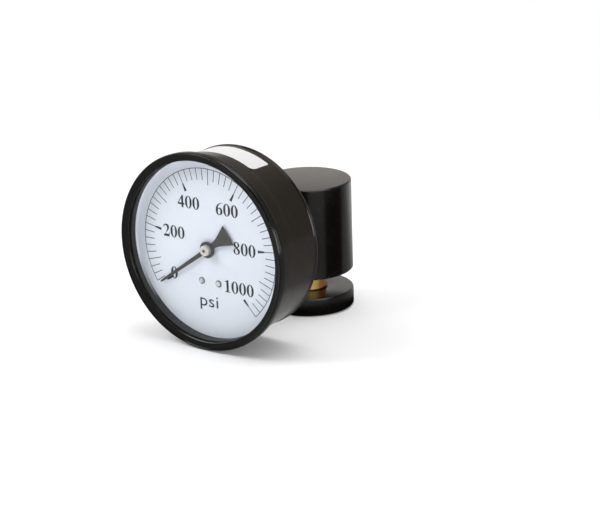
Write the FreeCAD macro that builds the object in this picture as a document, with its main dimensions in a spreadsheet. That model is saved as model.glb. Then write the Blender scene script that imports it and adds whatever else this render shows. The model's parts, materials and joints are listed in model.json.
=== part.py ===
import FreeCAD, Part
import math
import os

import Sketcher

os.makedirs("parts", exist_ok=True)
doc = FreeCAD.newDocument("SpringTester")

# Spring tester: a hydraulic cylinder on a short ram, with a dial gauge in its side.
# Origin at the centre of the foot's lower face, +Z up the cylinder, dial facing -Y.
# All sizes are millimetres and degrees.

SIZES = {
    # Cylinder body, a turned and black anodised bar with a blind bore from below.
    "body_radius": 22.225,
    "body_length": 46.05,
    "body_gap": 9.8,
    "edge_chamfer": 0.6,
    "bore_radius": 14.325,
    "crown_thick": 10.5,
    "mouth_land": 1.5,
    "mouth_chamfer": 0.4,
    "ring_thick": 1.2,
    "ring_groove_depth": 1.2,
    "port_radius": 6.65,
    "port_depth": 6.5,
    "port_drill_radius": 2.5,
    # Gland that closes the bore mouth and guides the rod.
    "gland_length": 8.0,
    "wiper_height": 3.0,
    "wiper_section": 2.2,
    "wiper_lip": 0.8,
    "ring_width": 2.0,
    "ring_gap_angle": 40.0,
    "ear_radius": 1.6,
    "ear_hole_radius": 0.8,
    # Ram: piston head and rod in one brass turning, on a black foot.
    "rod_radius": 8.35,
    "head_length": 14.5,
    "head_chamfer": 0.8,
    "seal_groove_base": 4.2,
    "seal_groove_depth": 3.0,
    "seal_width": 3.7,
    "seal_bevel": 1.1,
    "backup_thick": 1.2,
    "foot_radius": 22.225,
    "foot_thick": 8.8,
    "foot_recess": 2.0,
    "rod_stud_radius": 5.0,
    "rod_stud_length": 4.5,
    "set_screw_radius": 2.0,
    "set_screw_length": 8.0,
    "set_screw_height": 4.4,
    "set_screw_socket_width": 2.0,
    "set_screw_socket_depth": 2.5,
    # Clearances.
    "running_gap": 0.05,
    "thread_gap": 0.05,
    "seat_gap": 0.05,
    "rest_gap": 0.1,
    # Gauge case, bezel and window. Heights are measured from the case's rear rim.
    "gauge_height": 49.36,
    "gauge_reach": 52.5,
    "gauge_depth": 33.0,
    "case_wall": 1.0,
    "case_back_recess": 0.8,
    "case_front_radius": 45.5,
    "case_waist_step": 0.6,
    "case_rear_step": 0.8,
    "case_rim_height": 1.6,
    "case_rim_width": 0.4,
    "case_step_height": 18.8,
    "case_step_length": 0.5,
    "case_front_height": 31.0,
    "bezel_wall": 2.35,
    "bezel_length": 4.2,
    "bezel_crest": 0.9,
    "window_inset": 1.65,
    "window_recess": 1.6,
    "window_lip": 0.8,
    "lens_thick": 1.6,
    "gasket_width": 0.6,
    "lens_play": 0.2,
    # Dial and pointer.
    "dial_thick": 0.6,
    "dial_to_lens": 4.6,
    "dial_hole_radius": 2.2,
    "dial_screw_across": 10.4,
    "dial_screw_drop": 16.7,
    "dial_screw_radius": 1.0,
    "dial_screw_head_radius": 1.7,
    "dial_screw_head_height": 0.8,
    "pointer_gap": 1.0,
    "pointer_thick": 0.5,
    "pointer_reach": 36.3,
    "pointer_root_width": 2.4,
    "pointer_tip_width": 0.7,
    "pointer_neck": 4.6,
    "pointer_neck_width": 2.6,
    "pointer_tail": 15.6,
    "pointer_tail_width": 10.4,
    "pointer_zero_angle": 215.0,
    "boss_radius": 4.0,
    "boss_height": 0.9,
    "hub_radius": 2.5,
    "hub_height": 3.2,
    # Stem: pipe thread, wrench flats, neck and the inner block.
    "stem_radius": 6.6,
    "stem_tip_chamfer": 1.0,
    "stem_tip_gap": 0.3,
    "flats_across": 14.3,
    "flats_corner": 1.6,
    "flats_length": 13.0,
    "flats_gap": 1.0,
    "neck_radius": 7.0,
    "passage_radius": 1.6,
    "restrictor_length": 4.0,
    "restrictor_hole_radius": 0.4,
    "block_width": 18.0,
    "block_rise": 14.0,
    "block_drop": 16.0,
    "block_thick": 10.2,
    "finger_width": 8.0,
    "finger_drop": 25.5,
    "case_screw_offset": 10.8,
    "case_screw_radius": 1.3,
    "case_screw_head_radius": 2.4,
    "case_screw_head_height": 0.7,
    "case_screw_length": 5.5,
    # Bourdon tube: a flattened tube bent into a C, and its tip.
    "tube_bend_radius": 22.0,
    "tube_height": 7.2,
    "tube_width": 3.0,
    "tube_wall": 0.5,
    "tube_corner": 0.9,
    "tube_plane": 7.8,
    "tube_end_angle": 10.0,
    "tube_sweep": 275.0,
    "tube_socket_play": 0.15,
    "tip_angle": 9.0,
    "tip_margin": 0.2,
    "tip_arm_drop": 6.0,
    "tip_arm_width": 3.2,
    "tip_arm_thick": 1.5,
    "link_pin_radius": 0.6,
    # Movement: two plates on pillars, a toothed sector and a pinion.
    "plate_thick": 1.0,
    "plate_spacing": 5.0,
    "plate_width": 18.0,
    "plate_rise": 9.0,
    "plate_drop": 26.0,
    "plate_corner": 6.0,
    "pillar_radius": 1.3,
    "pillar_across": 12.0,
    "pillar_rise": 5.0,
    "pillar_left": 5.0,
    "pillar_drop": 22.0,
    "plate_screw_radius": 0.8,
    "plate_screw_head_radius": 1.5,
    "plate_screw_head_height": 0.8,
    "plate_screw_length": 3.0,
    "dial_post_radius": 1.7,
    "gear_module": 0.3,
    "pinion_teeth": 10,
    "sector_teeth": 110,
    "sector_teeth_cut": 11,
    "tooth_rise": 0.27,
    "tooth_root": 0.37,
    "tooth_base_width": 0.42,
    "tooth_tip_width": 0.15,
    "mesh_play": 0.04,
    "arbor_radius": 0.8,
    "pivot_play": 0.1,
    "pinion_face": 2.8,
    "pinion_lift": 0.6,
    "sector_thick": 0.8,
    "sector_lift": 1.5,
    "sector_rim": 2.0,
    "sector_hub_radius": 2.4,
    "tail_length": 10.0,
    "tail_angle": 12.0,
    "tail_width": 2.6,
    "tail_end_radius": 1.5,
    "link_thick": 0.7,
    "link_width": 3.0,
    "link_lift": 0.2,
    "link_play": 0.1,
    "spring_inner_radius": 1.2,
    "spring_growth": 0.85,
    "spring_half_turns": 10,
    "spring_strip": 0.15,
    "spring_height": 0.6,
    "spring_lift": 3.8,
    "stud_radius": 0.5,
}

sheet = doc.addObject("Spreadsheet::Sheet", "Sizes")
for row, (alias, number) in enumerate(SIZES.items(), start=1):
    sheet.set(f"A{row}", alias.replace("_", " "))
    sheet.set(f"B{row}", str(number))
    sheet.setAlias(f"B{row}", alias)
doc.recompute()


class Size:
    """A size as a number now, and as the expression that keeps it live in the document."""

    def __init__(self, text, number):
        self.text = text
        self.number = float(number)

    def join(self, other, sign, number):
        return Size(f"({self.text} {sign} {text_of(other)})", number)

    def __add__(self, other):
        return self.join(other, "+", self.number + number_of(other))

    def __sub__(self, other):
        return self.join(other, "-", self.number - number_of(other))

    def __mul__(self, other):
        return self.join(other, "*", self.number * number_of(other))

    def __truediv__(self, other):
        return self.join(other, "/", self.number / number_of(other))

    def __neg__(self):
        return Size(f"(0 - {self.text})", -self.number)

    def __radd__(self, other):
        return as_size(other) + self

    def __rsub__(self, other):
        return as_size(other) - self

    def __rmul__(self, other):
        return as_size(other) * self

    def __rtruediv__(self, other):
        return as_size(other) / self


def text_of(value):
    return value.text if isinstance(value, Size) else repr(float(value))


def number_of(value):
    return value.number if isinstance(value, Size) else float(value)


def as_size(value):
    return value if isinstance(value, Size) else Size(text_of(value), value)


def cosine(angle):
    return Size(f"cos({text_of(angle)} * 1 deg)", math.cos(math.radians(number_of(angle))))


def sine(angle):
    return Size(f"sin({text_of(angle)} * 1 deg)", math.sin(math.radians(number_of(angle))))


class Sheet:
    """Gives each named size of the sheet as an attribute."""

    def __getattr__(self, alias):
        return Size(f"Sizes.{alias}", SIZES[alias])


size = Sheet()


def bind(thing, name, value):
    """Tie one property to a size, or set it where it is a plain number."""
    if isinstance(value, Size):
        thing.setExpression(name, value.text)


def polar(radius, angle):
    """The corner at a radius and an angle, as a pair."""
    return (radius * cosine(angle), radius * sine(angle))


# Helpers for sketches, turned pieces, pads, pockets and patterns.

def new_body(label):
    body = doc.addObject("PartDesign::Body", label)
    body.Label = label
    return body


def origin_plane(body, role):
    for feature in body.Origin.OriginFeatures:
        if feature.Role == role:
            return feature
    raise RuntimeError(f"{body.Label} has no {role}")


def new_sketch(body, name, role="XY_Plane", offset=(0, 0, 0), turn=0):
    """A sketch on an origin plane of the body, moved by an offset and turned in its plane."""
    sketch = body.newObject("Sketcher::SketchObject", name)
    sketch.AttachmentSupport = (origin_plane(body, role), [""])
    sketch.MapMode = "FlatFace"
    base = FreeCAD.Vector(*[number_of(part) for part in offset])
    rotation = FreeCAD.Rotation(FreeCAD.Vector(0, 0, 1), number_of(turn))
    sketch.AttachmentOffset = FreeCAD.Placement(base, rotation)
    for axis, part in zip("xyz", offset):
        bind(sketch, f"AttachmentOffset.Base.{axis}", part)
    bind(sketch, "AttachmentOffset.Rotation.Angle", turn)
    return sketch


def hold(sketch, kind, index, point, value):
    """Hold one point of a sketch's geometry at a distance from the sketch's origin."""
    number = sketch.addConstraint(Sketcher.Constraint(kind, -1, 1, index, point, number_of(value)))
    bind(sketch, f"Constraints[{number}]", value)


def outline(sketch, corners):
    """A closed outline of straight edges, with each corner held by the sizes."""
    places = [FreeCAD.Vector(number_of(x), number_of(y), 0) for x, y in corners]
    first = sketch.GeometryCount
    count = len(corners)
    for step in range(count):
        sketch.addGeometry(Part.LineSegment(places[step], places[(step + 1) % count]), False)
    for step in range(count):
        following = first + (step + 1) % count
        sketch.addConstraint(Sketcher.Constraint("Coincident", first + step, 2, following, 1))
    for step, (x, y) in enumerate(corners):
        hold(sketch, "DistanceX", first + step, 1, x)
        hold(sketch, "DistanceY", first + step, 1, y)
    return sketch


def circle(sketch, radius, centre=(0, 0)):
    """A circle of the sketch, held by its centre and radius."""
    place = FreeCAD.Vector(number_of(centre[0]), number_of(centre[1]), 0)
    shape = Part.Circle(place, FreeCAD.Vector(0, 0, 1), number_of(radius))
    index = sketch.addGeometry(shape, False)
    hold(sketch, "DistanceX", index, 3, centre[0])
    hold(sketch, "DistanceY", index, 3, centre[1])
    number = sketch.addConstraint(Sketcher.Constraint("Radius", index, number_of(radius)))
    bind(sketch, f"Constraints[{number}]", radius)
    return sketch


def eased_box(sketch, centre, half_width, half_height, corner):
    """A box about a centre, with its four corners cut off at 45 degrees."""
    x, y = centre
    right, left = x + half_width, x - half_width
    top, bottom = y + half_height, y - half_height
    return outline(sketch, [(right, bottom + corner), (right, top - corner), (right - corner, top),
                            (left + corner, top), (left, top - corner), (left, bottom + corner),
                            (left + corner, bottom), (right - corner, bottom)])


def oval(sketch, x, low, high, radius):
    """An upright oval: two half circles about (x, low) and (x, high), joined by lines."""
    up = FreeCAD.Vector(0, 0, 1)
    middle, bottom, top, bend = (number_of(part) for part in (x, low, high, radius))
    lower = Part.Circle(FreeCAD.Vector(middle, bottom, 0), up, bend)
    upper = Part.Circle(FreeCAD.Vector(middle, top, 0), up, bend)
    right, left = middle + bend, middle - bend
    first = sketch.GeometryCount
    sketch.addGeometry(Part.ArcOfCircle(lower, math.pi, 2 * math.pi), False)
    sketch.addGeometry(Part.LineSegment(FreeCAD.Vector(right, bottom, 0), FreeCAD.Vector(right, top, 0)), False)
    sketch.addGeometry(Part.ArcOfCircle(upper, 0, math.pi), False)
    sketch.addGeometry(Part.LineSegment(FreeCAD.Vector(left, top, 0), FreeCAD.Vector(left, bottom, 0)), False)
    for step in range(4):
        following = first + (step + 1) % 4
        sketch.addConstraint(Sketcher.Constraint("Tangent", first + step, 2, following, 1))
    for index, height in ((first, low), (first + 2, high)):
        hold(sketch, "DistanceX", index, 3, x)
        hold(sketch, "DistanceY", index, 3, height)
        number = sketch.addConstraint(Sketcher.Constraint("Radius", index, bend))
        bind(sketch, f"Constraints[{number}]", radius)
    return sketch


def turn_about_axis(body, name, sketch, angle=360):
    """Turn a half section about the body's own upright axis."""
    feature = body.newObject("PartDesign::Revolution", name)
    feature.Profile = sketch
    feature.ReferenceAxis = (sketch, ["V_Axis"])
    feature.Angle = number_of(angle)
    bind(feature, "Angle", angle)
    return feature


def turned(label, corners, angle=360):
    """A turned piece, from the (radius, height) corners of its half section."""
    body = new_body(label)
    sketch = outline(new_sketch(body, f"{label}_section", "XZ_Plane"), corners)
    turn_about_axis(body, f"{label}_turning", sketch, angle)
    return body


def raised(body, name, sketch, length):
    """Pad a sketch upwards."""
    feature = body.newObject("PartDesign::Pad", name)
    feature.Profile = sketch
    feature.Length = number_of(length)
    bind(feature, "Length", length)
    return feature


def sunk(body, name, sketch, length, upward=False):
    """Cut a sketch into the body, downwards unless told otherwise."""
    doc.recompute()
    before = body.Shape.Volume
    feature = body.newObject("PartDesign::Pocket", name)
    feature.Profile = sketch
    feature.Length = number_of(length)
    feature.Reversed = upward
    bind(feature, "Length", length)
    doc.recompute()
    if body.Shape.Volume >= before:
        raise RuntimeError(f"{name} cuts nothing")
    return feature


def drilled_to_front(body, name, radius, height, start, length):
    """A hole that runs towards -Y, from a distance in front of the axis."""
    doc.recompute()
    before = body.Shape.Volume
    feature = body.newObject("PartDesign::SubtractiveCylinder", name)
    feature.AttachmentSupport = (origin_plane(body, "XZ_Plane"), [""])
    feature.MapMode = "FlatFace"
    feature.AttachmentOffset = FreeCAD.Placement(
        FreeCAD.Vector(0, number_of(height), number_of(start)), FreeCAD.Rotation())
    bind(feature, "AttachmentOffset.Base.y", height)
    bind(feature, "AttachmentOffset.Base.z", start)
    feature.Radius = number_of(radius)
    feature.Height = number_of(length)
    bind(feature, "Radius", radius)
    bind(feature, "Height", length)
    doc.recompute()
    if body.Shape.Volume >= before:
        raise RuntimeError(f"{name} cuts nothing")
    return feature


def repeated(body, name, feature, sketch, count, angle, clockwise=False):
    """Repeat a feature about the axis that stands on a sketch's origin."""
    pattern = body.newObject("PartDesign::PolarPattern", name)
    pattern.Originals = [feature]
    pattern.Axis = (sketch, ["N_Axis"])
    pattern.Angle = number_of(angle)
    pattern.Occurrences = int(number_of(count))
    pattern.Reversed = clockwise
    bind(pattern, "Angle", angle)
    bind(pattern, "Occurrences", count)
    body.Tip = pattern
    return pattern


def rounded(body, name, radius, wanted):
    """Round the edges of the body that a test picks."""
    doc.recompute()
    base = body.Tip
    names = [f"Edge{index}" for index, edge in enumerate(base.Shape.Edges, start=1) if wanted(edge)]
    if not names:
        raise RuntimeError(f"{name} finds no edge")
    feature = body.newObject("PartDesign::Fillet", name)
    feature.Base = (base, names)
    feature.Radius = number_of(radius)
    bind(feature, "Radius", radius)
    return feature


def upright_edge(edge):
    """A test for a straight edge that runs up the body."""
    first, last = edge.Vertexes[0].Point, edge.Vertexes[-1].Point
    flat = math.hypot(first.x - last.x, first.y - last.y)
    return isinstance(edge.Curve, Part.Line) and flat < TOUCH


TOUCH = 1e-4

# Heights that several pieces share, up the cylinder's axis.
body_base = size.foot_thick + size.body_gap
groove_top = size.mouth_land + size.ring_thick + size.seat_gap
gland_base = body_base + groove_top
rod_base = size.foot_thick - size.foot_recess
head_base = gland_base + size.gland_length + size.rest_gap - rod_base
head_radius = size.bore_radius - size.running_gap
seal_radius = size.bore_radius - size.seal_groove_depth


def stand(body, height):
    """Set a piece of the cylinder or ram at its height."""
    body.Placement = FreeCAD.Placement(FreeCAD.Vector(0, 0, number_of(height)), FreeCAD.Rotation())
    bind(body, "Placement.Base.z", height)
    return body


def make_cylinder_body():
    bore_end = size.body_length - size.crown_thick
    groove_radius = size.bore_radius + size.ring_groove_depth
    body = turned("cylinder_body", [
        (size.bore_radius + size.mouth_chamfer, 0),
        (size.body_radius - size.edge_chamfer, 0),
        (size.body_radius, size.edge_chamfer),
        (size.body_radius, size.body_length - size.edge_chamfer),
        (size.body_radius - size.edge_chamfer, size.body_length),
        (0, size.body_length),
        (0, bore_end),
        (size.bore_radius, bore_end),
        (size.bore_radius, groove_top),
        (groove_radius, groove_top),
        (groove_radius, size.mouth_land),
        (size.bore_radius, size.mouth_land),
        (size.bore_radius, size.mouth_chamfer),
    ])
    port_height = size.gauge_height - body_base
    drilled_to_front(body, "oil_drilling", size.port_drill_radius, port_height, 0, size.body_radius)
    drilled_to_front(body, "gauge_port", size.port_radius, port_height,
                     size.body_radius - size.port_depth, size.port_depth + size.edge_chamfer)
    return stand(body, body_base)


def make_rod_gland():
    guide = size.rod_radius + size.running_gap
    pocket = size.rod_radius + size.wiper_section
    body = turned("rod_gland", [
        (pocket, 0),
        (size.bore_radius - size.mouth_chamfer, 0),
        (size.bore_radius, size.mouth_chamfer),
        (size.bore_radius, size.gland_length),
        (guide, size.gland_length),
        (guide, size.wiper_height),
        (pocket, size.wiper_height),
    ])
    return stand(body, gland_base)


def make_rod_wiper():
    lip = size.rod_radius + size.running_gap
    heel = size.rod_radius + size.wiper_section
    body = turned("rod_wiper", [
        (lip, -size.wiper_lip),
        (lip + size.wiper_lip / 2, -size.wiper_lip),
        (lip + size.wiper_lip, 0),
        (heel, 0),
        (heel, size.wiper_height),
        (lip + size.wiper_lip, size.wiper_height),
        (lip + size.wiper_lip, size.wiper_height / 2),
        (lip, size.wiper_height / 4),
    ])
    return stand(body, gland_base)


def make_retaining_ring():
    outer = size.bore_radius + size.ring_groove_depth - size.seat_gap
    inner = size.bore_radius - size.ring_width
    span = 360 - size.ring_gap_angle
    body = turned("retaining_ring",
                  [(inner, 0), (outer, 0), (outer, size.ring_thick), (inner, size.ring_thick)], span)
    ear_line = inner - size.ear_radius / 2
    for name, angle in (("near", 0), ("far", span)):
        ear = circle(new_sketch(body, f"{name}_ear"), size.ear_radius, polar(ear_line, angle))
        raised(body, f"{name}_ear_pad", ear, size.ring_thick)
    for name, angle in (("near", 0), ("far", span)):
        hole = new_sketch(body, f"{name}_ear_hole", offset=(0, 0, size.ring_thick))
        circle(hole, size.ear_hole_radius, polar(ear_line, angle))
        sunk(body, f"{name}_ear_drilling", hole, size.ring_thick)
    return stand(body, body_base + size.mouth_land)


def make_piston_rod():
    head_top = head_base + size.head_length
    groove_low = head_base + size.seal_groove_base
    groove_high = groove_low + size.backup_thick + size.seal_width + size.seat_gap * 2
    body = turned("piston_rod", [
        (0, -size.rod_stud_length),
        (size.rod_stud_radius - size.edge_chamfer, -size.rod_stud_length),
        (size.rod_stud_radius, size.edge_chamfer - size.rod_stud_length),
        (size.rod_stud_radius, 0),
        (size.rod_radius, 0),
        (size.rod_radius, head_base),
        (head_radius, head_base),
        (head_radius, groove_low),
        (seal_radius, groove_low),
        (seal_radius, groove_high),
        (head_radius, groove_high),
        (head_radius, head_top - size.head_chamfer),
        (head_radius - size.head_chamfer, head_top),
        (0, head_top),
    ])
    return stand(body, rod_base)


def make_piston_seals():
    low = rod_base + head_base + size.seal_groove_base
    backup = turned("backup_ring", [
        (seal_radius, 0), (head_radius, 0), (head_radius, size.backup_thick), (seal_radius, size.backup_thick)])
    stand(backup, low + size.seat_gap / 2)
    seal = turned("piston_seal", [
        (seal_radius, 0),
        (head_radius - size.seal_bevel, 0),
        (head_radius, size.seal_bevel),
        (head_radius, size.seal_width - size.seal_bevel),
        (head_radius - size.seal_bevel, size.seal_width),
        (seal_radius, size.seal_width),
    ])
    stand(seal, low + size.backup_thick + size.seat_gap)
    return backup, seal


def make_foot_disc():
    tapped = size.rod_stud_radius + size.thread_gap
    tapped_end = rod_base - size.rod_stud_length - size.rest_gap
    seat = size.rod_radius + size.seat_gap
    body = turned("foot_disc", [
        (0, 0),
        (size.foot_radius - size.edge_chamfer, 0),
        (size.foot_radius, size.edge_chamfer),
        (size.foot_radius, size.foot_thick - size.edge_chamfer),
        (size.foot_radius - size.edge_chamfer, size.foot_thick),
        (seat, size.foot_thick),
        (seat, rod_base),
        (tapped, rod_base),
        (tapped, tapped_end),
        (0, tapped_end),
    ])
    drilled_to_front(body, "set_screw_hole", size.set_screw_radius + size.thread_gap, size.set_screw_height,
                     -size.foot_radius, size.foot_radius - size.rod_stud_radius)
    return body


def make_set_screw():
    bevel = size.set_screw_radius / 4
    body = turned("set_screw", [
        (0, 0),
        (size.set_screw_radius - bevel, 0),
        (size.set_screw_radius, bevel),
        (size.set_screw_radius, size.set_screw_length - bevel),
        (size.set_screw_radius - bevel, size.set_screw_length),
        (0, size.set_screw_length),
    ])
    corner = size.set_screw_socket_width / 2 / cosine(30)
    socket = new_sketch(body, "socket")
    outline(socket, [polar(corner, 60 * step) for step in range(6)])
    sunk(body, "socket_pocket", socket, size.set_screw_socket_depth, upward=True)
    back = size.rod_stud_radius + size.seat_gap + size.set_screw_length
    body.Placement = FreeCAD.Placement(FreeCAD.Vector(0, back.number, size.set_screw_height.number),
                                       FreeCAD.Rotation(FreeCAD.Vector(1, 0, 0), 90))
    bind(body, "Placement.Base.y", back)
    bind(body, "Placement.Base.z", size.set_screw_height)
    return body


# The gauge is drawn lying on its back: X to the right, Y up the dial, Z towards the
# viewer, with Z at zero on the rear rim. It is then stood up with the dial facing -Y.
back_inside = size.case_back_recess + size.case_wall
case_inside = size.case_front_radius - size.case_wall
lens_radius = case_inside - size.lens_play
window_height = size.gauge_depth - size.window_recess
lens_base = window_height - size.lens_thick
dial_face = lens_base - size.dial_to_lens
dial_back = dial_face - size.dial_thick
pointer_base = dial_face + size.pointer_gap
hub_front = pointer_base + size.hub_height
block_face = back_inside + size.block_thick
movement_floor = block_face + size.plate_thick
movement_ceiling = movement_floor + size.plate_spacing
pinion_radius = size.gear_module * size.pinion_teeth / 2
sector_radius = size.gear_module * size.sector_teeth / 2
sector_drop = pinion_radius + sector_radius + size.mesh_play
sector_base = movement_floor + size.sector_lift
sector_top = sector_base + size.sector_thick
link_base = sector_top + size.link_lift
link_top = link_base + size.link_thick
tail_x = size.tail_length * cosine(size.tail_angle)
tail_rise = size.tail_length * sine(size.tail_angle)
link_travel = tail_rise * 2
link_x = (tail_x + size.tail_length) / 2
spring_end = size.spring_inner_radius + size.spring_growth * size.spring_half_turns / 2


def stand_gauge(body, turn=0):
    """Stand a piece of the gauge up at the gauge's place on the cylinder."""
    upright = FreeCAD.Rotation(FreeCAD.Vector(1, 0, 0), 90)
    spin = FreeCAD.Rotation(FreeCAD.Vector(0, 0, 1), number_of(turn))
    place = FreeCAD.Vector(0, -size.gauge_reach.number, size.gauge_height.number)
    body.Placement = FreeCAD.Placement(place, upright.multiply(spin))
    bind(body, "Placement.Base.y", -size.gauge_reach)
    bind(body, "Placement.Base.z", size.gauge_height)
    return body


def make_gauge_case():
    front = size.case_front_radius
    waist = front - size.case_waist_step
    rear = front - size.case_rear_step
    rim_top = size.case_rim_height
    step = size.case_step_height
    step_end = step + size.case_step_length
    rear_inside = rear - size.case_rim_width - size.case_wall
    body = turned("gauge_case", [
        (size.neck_radius + size.seat_gap, size.case_back_recess),
        (rear_inside - size.case_wall, size.case_back_recess),
        (rear_inside, 0),
        (rear - size.case_rim_width / 2, 0),
        (rear, rim_top / 4),
        (rear, rim_top * 3 / 4),
        (rear - size.case_rim_width, rim_top),
        (waist, step),
        (waist - size.case_rim_width / 2, step + size.case_step_length / 2),
        (front, step_end),
        (front, size.case_front_height),
        (case_inside, size.case_front_height),
        (case_inside, step_end + size.case_wall / 2),
        (waist - size.case_wall, step),
        (rear_inside, rim_top + size.case_wall),
        (rear_inside - size.case_wall, back_inside),
        (size.neck_radius + size.seat_gap, back_inside),
    ])
    holes = new_sketch(body, "case_screw_holes", offset=(0, 0, back_inside))
    for side in (1, -1):
        circle(holes, size.case_screw_radius + size.seat_gap, (0, size.case_screw_offset * side))
    sunk(body, "case_screw_drillings", holes, size.case_wall)
    return stand_gauge(body)


def make_bezel_ring():
    skirt = size.case_front_radius + size.seat_gap
    outer = skirt + size.bezel_wall
    crest = size.gauge_depth
    lip = size.case_front_radius - size.window_inset
    channel = size.case_front_height + size.seat_gap
    body = turned("bezel_ring", [
        (skirt, crest - size.bezel_length),
        (outer - size.edge_chamfer / 2, crest - size.bezel_length),
        (outer, crest - size.bezel_length + size.edge_chamfer / 2),
        (outer, crest - size.bezel_crest),
        (outer - size.bezel_crest / 2, crest),
        (outer - size.bezel_crest, crest),
        (lip, window_height + size.window_lip),
        (lip, window_height),
        (case_inside - size.seat_gap, window_height),
        (case_inside - size.seat_gap, channel),
        (skirt, channel),
    ])
    return stand_gauge(body)


def make_lens():
    edge = size.edge_chamfer / 3
    body = turned("lens", [
        (0, lens_base),
        (lens_radius - edge, lens_base),
        (lens_radius, lens_base + edge),
        (lens_radius, window_height - edge),
        (lens_radius - edge, window_height),
        (0, window_height),
    ])
    return stand_gauge(body)


def make_lens_gasket():
    inner = lens_radius - size.gasket_width
    body = turned("lens_gasket", [
        (inner, dial_face), (lens_radius, dial_face), (lens_radius, lens_base), (inner, lens_base)])
    return stand_gauge(body)


def make_dial():
    body = new_body("dial")
    raised(body, "dial_plate", circle(new_sketch(body, "dial_edge", offset=(0, 0, dial_back)), lens_radius),
           size.dial_thick)
    holes = new_sketch(body, "dial_holes", offset=(0, 0, dial_face))
    circle(holes, size.dial_hole_radius)
    for side in (1, -1):
        circle(holes, size.dial_screw_radius + size.seat_gap,
               (size.dial_screw_across / 2 * side, -size.dial_screw_drop))
    sunk(body, "dial_drillings", holes, size.dial_thick)
    return stand_gauge(body)


def make_pointer():
    body = new_body("pointer")
    blade = new_sketch(body, "blade_outline", offset=(0, 0, pointer_base), turn=size.pointer_zero_angle)
    half_tip = size.pointer_tip_width / 2
    half_root = size.pointer_root_width / 2
    half_neck = size.pointer_neck_width / 2
    half_tail = size.pointer_tail_width / 2
    waist = (size.pointer_neck + size.pointer_tail) / 2
    half_waist = half_neck + (half_tail - half_neck) * 0.32
    upper = [(size.pointer_reach, half_tip), (size.hub_radius, half_root), (-size.pointer_neck, half_neck),
             (-waist, half_waist), (-size.pointer_tail, half_tail)]
    lower = [(x, -y) for x, y in reversed(upper)]
    raised(body, "blade", outline(blade, upper + lower), size.pointer_thick)
    boss = circle(new_sketch(body, "boss_edge", offset=(0, 0, pointer_base)), size.boss_radius)
    raised(body, "boss", boss, size.boss_height)
    bore = new_sketch(body, "boss_bore", offset=(0, 0, pointer_base + size.boss_height))
    sunk(body, "boss_drilling", circle(bore, size.hub_radius), size.boss_height)
    return stand_gauge(body)


def make_pointer_hub():
    edge = size.edge_chamfer / 3
    neck = size.hub_radius / 2
    body = turned("pointer_hub", [
        (size.arbor_radius, pointer_base - size.pointer_gap / 2),
        (neck, pointer_base - size.pointer_gap / 2),
        (neck, pointer_base),
        (size.hub_radius, pointer_base),
        (size.hub_radius, hub_front - edge),
        (size.hub_radius - edge, hub_front),
        (size.arbor_radius, hub_front),
    ])
    return stand_gauge(body)


def make_gauge_stem():
    tip = -(size.gauge_reach - size.body_radius + size.port_depth - size.stem_tip_gap)
    flats_low = -(size.flats_gap + size.flats_length)
    body = turned("gauge_stem", [
        (size.passage_radius, tip),
        (size.stem_radius - size.stem_tip_chamfer, tip),
        (size.stem_radius, tip + size.stem_tip_chamfer),
        (size.stem_radius, flats_low),
        (size.neck_radius, flats_low),
        (size.neck_radius, back_inside + size.case_wall),
        (0, back_inside + size.case_wall),
        (0, size.case_back_recess),
        (size.passage_radius, size.case_back_recess),
    ])
    half = size.flats_across / 2
    cut = half - size.flats_corner
    flats = new_sketch(body, "wrench_flats", offset=(0, 0, flats_low))
    outline(flats, [(half, -cut), (half, cut), (cut, half), (-cut, half),
                    (-half, cut), (-half, -cut), (-cut, -half), (cut, -half)])
    raised(body, "wrench_square", flats, size.flats_length)
    side = size.block_width / 2
    finger = size.finger_width / 2
    block = new_sketch(body, "block_outline", offset=(0, 0, back_inside))
    outline(block, [(-side, size.block_rise), (-side, -size.block_drop),
                    (-finger, -size.block_drop - size.passage_radius), (-finger, -size.finger_drop),
                    (finger, -size.finger_drop), (finger, -size.block_drop - size.passage_radius),
                    (side, -size.block_drop), (side, size.block_rise)])
    raised(body, "block", block, size.block_thick)
    passage = new_sketch(body, "passage_end", offset=(0, 0, size.case_back_recess))
    sunk(body, "passage", circle(passage, size.passage_radius), size.tube_plane - size.case_back_recess,
         upward=True)
    drilled_to_front_in_gauge(body)
    half_slot = size.tube_width / 2 + size.tube_socket_play * 2
    socket = new_sketch(body, "tube_socket_outline",
                        offset=(0, 0, size.tube_plane - size.tube_height / 2 - size.tube_socket_play))
    socket_end = -size.tube_bend_radius * cosine(90 - (size.tube_sweep - size.tube_end_angle - 270))
    outline(socket, [(-size.finger_width, -size.tube_bend_radius - half_slot),
                     (socket_end + size.tube_socket_play, -size.tube_bend_radius - half_slot),
                     (socket_end + size.tube_socket_play, -size.tube_bend_radius + half_slot),
                     (-size.finger_width, -size.tube_bend_radius + half_slot)])
    sunk(body, "tube_socket", socket, size.tube_height + size.tube_socket_play * 2, upward=True)
    screw_holes = new_sketch(body, "block_screw_holes", offset=(0, 0, back_inside))
    for way in (1, -1):
        circle(screw_holes, size.case_screw_radius + size.thread_gap, (0, size.case_screw_offset * way))
    sunk(body, "block_screw_drillings", screw_holes, size.case_screw_length, upward=True)
    return stand_gauge(body)


def drilled_to_front_in_gauge(body):
    """The cross hole in the block, from the passage down to the tube's foot."""
    drilled_to_front(body, "cross_hole", size.passage_radius / 2, size.tube_plane - size.passage_radius / 2,
                     0, size.tube_bend_radius)


def make_restrictor():
    start = -(size.gauge_reach - size.body_radius)
    body = turned("restrictor", [
        (size.restrictor_hole_radius, start),
        (size.passage_radius, start),
        (size.passage_radius, start + size.restrictor_length),
        (size.restrictor_hole_radius, start + size.restrictor_length),
    ])
    return stand_gauge(body)


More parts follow.
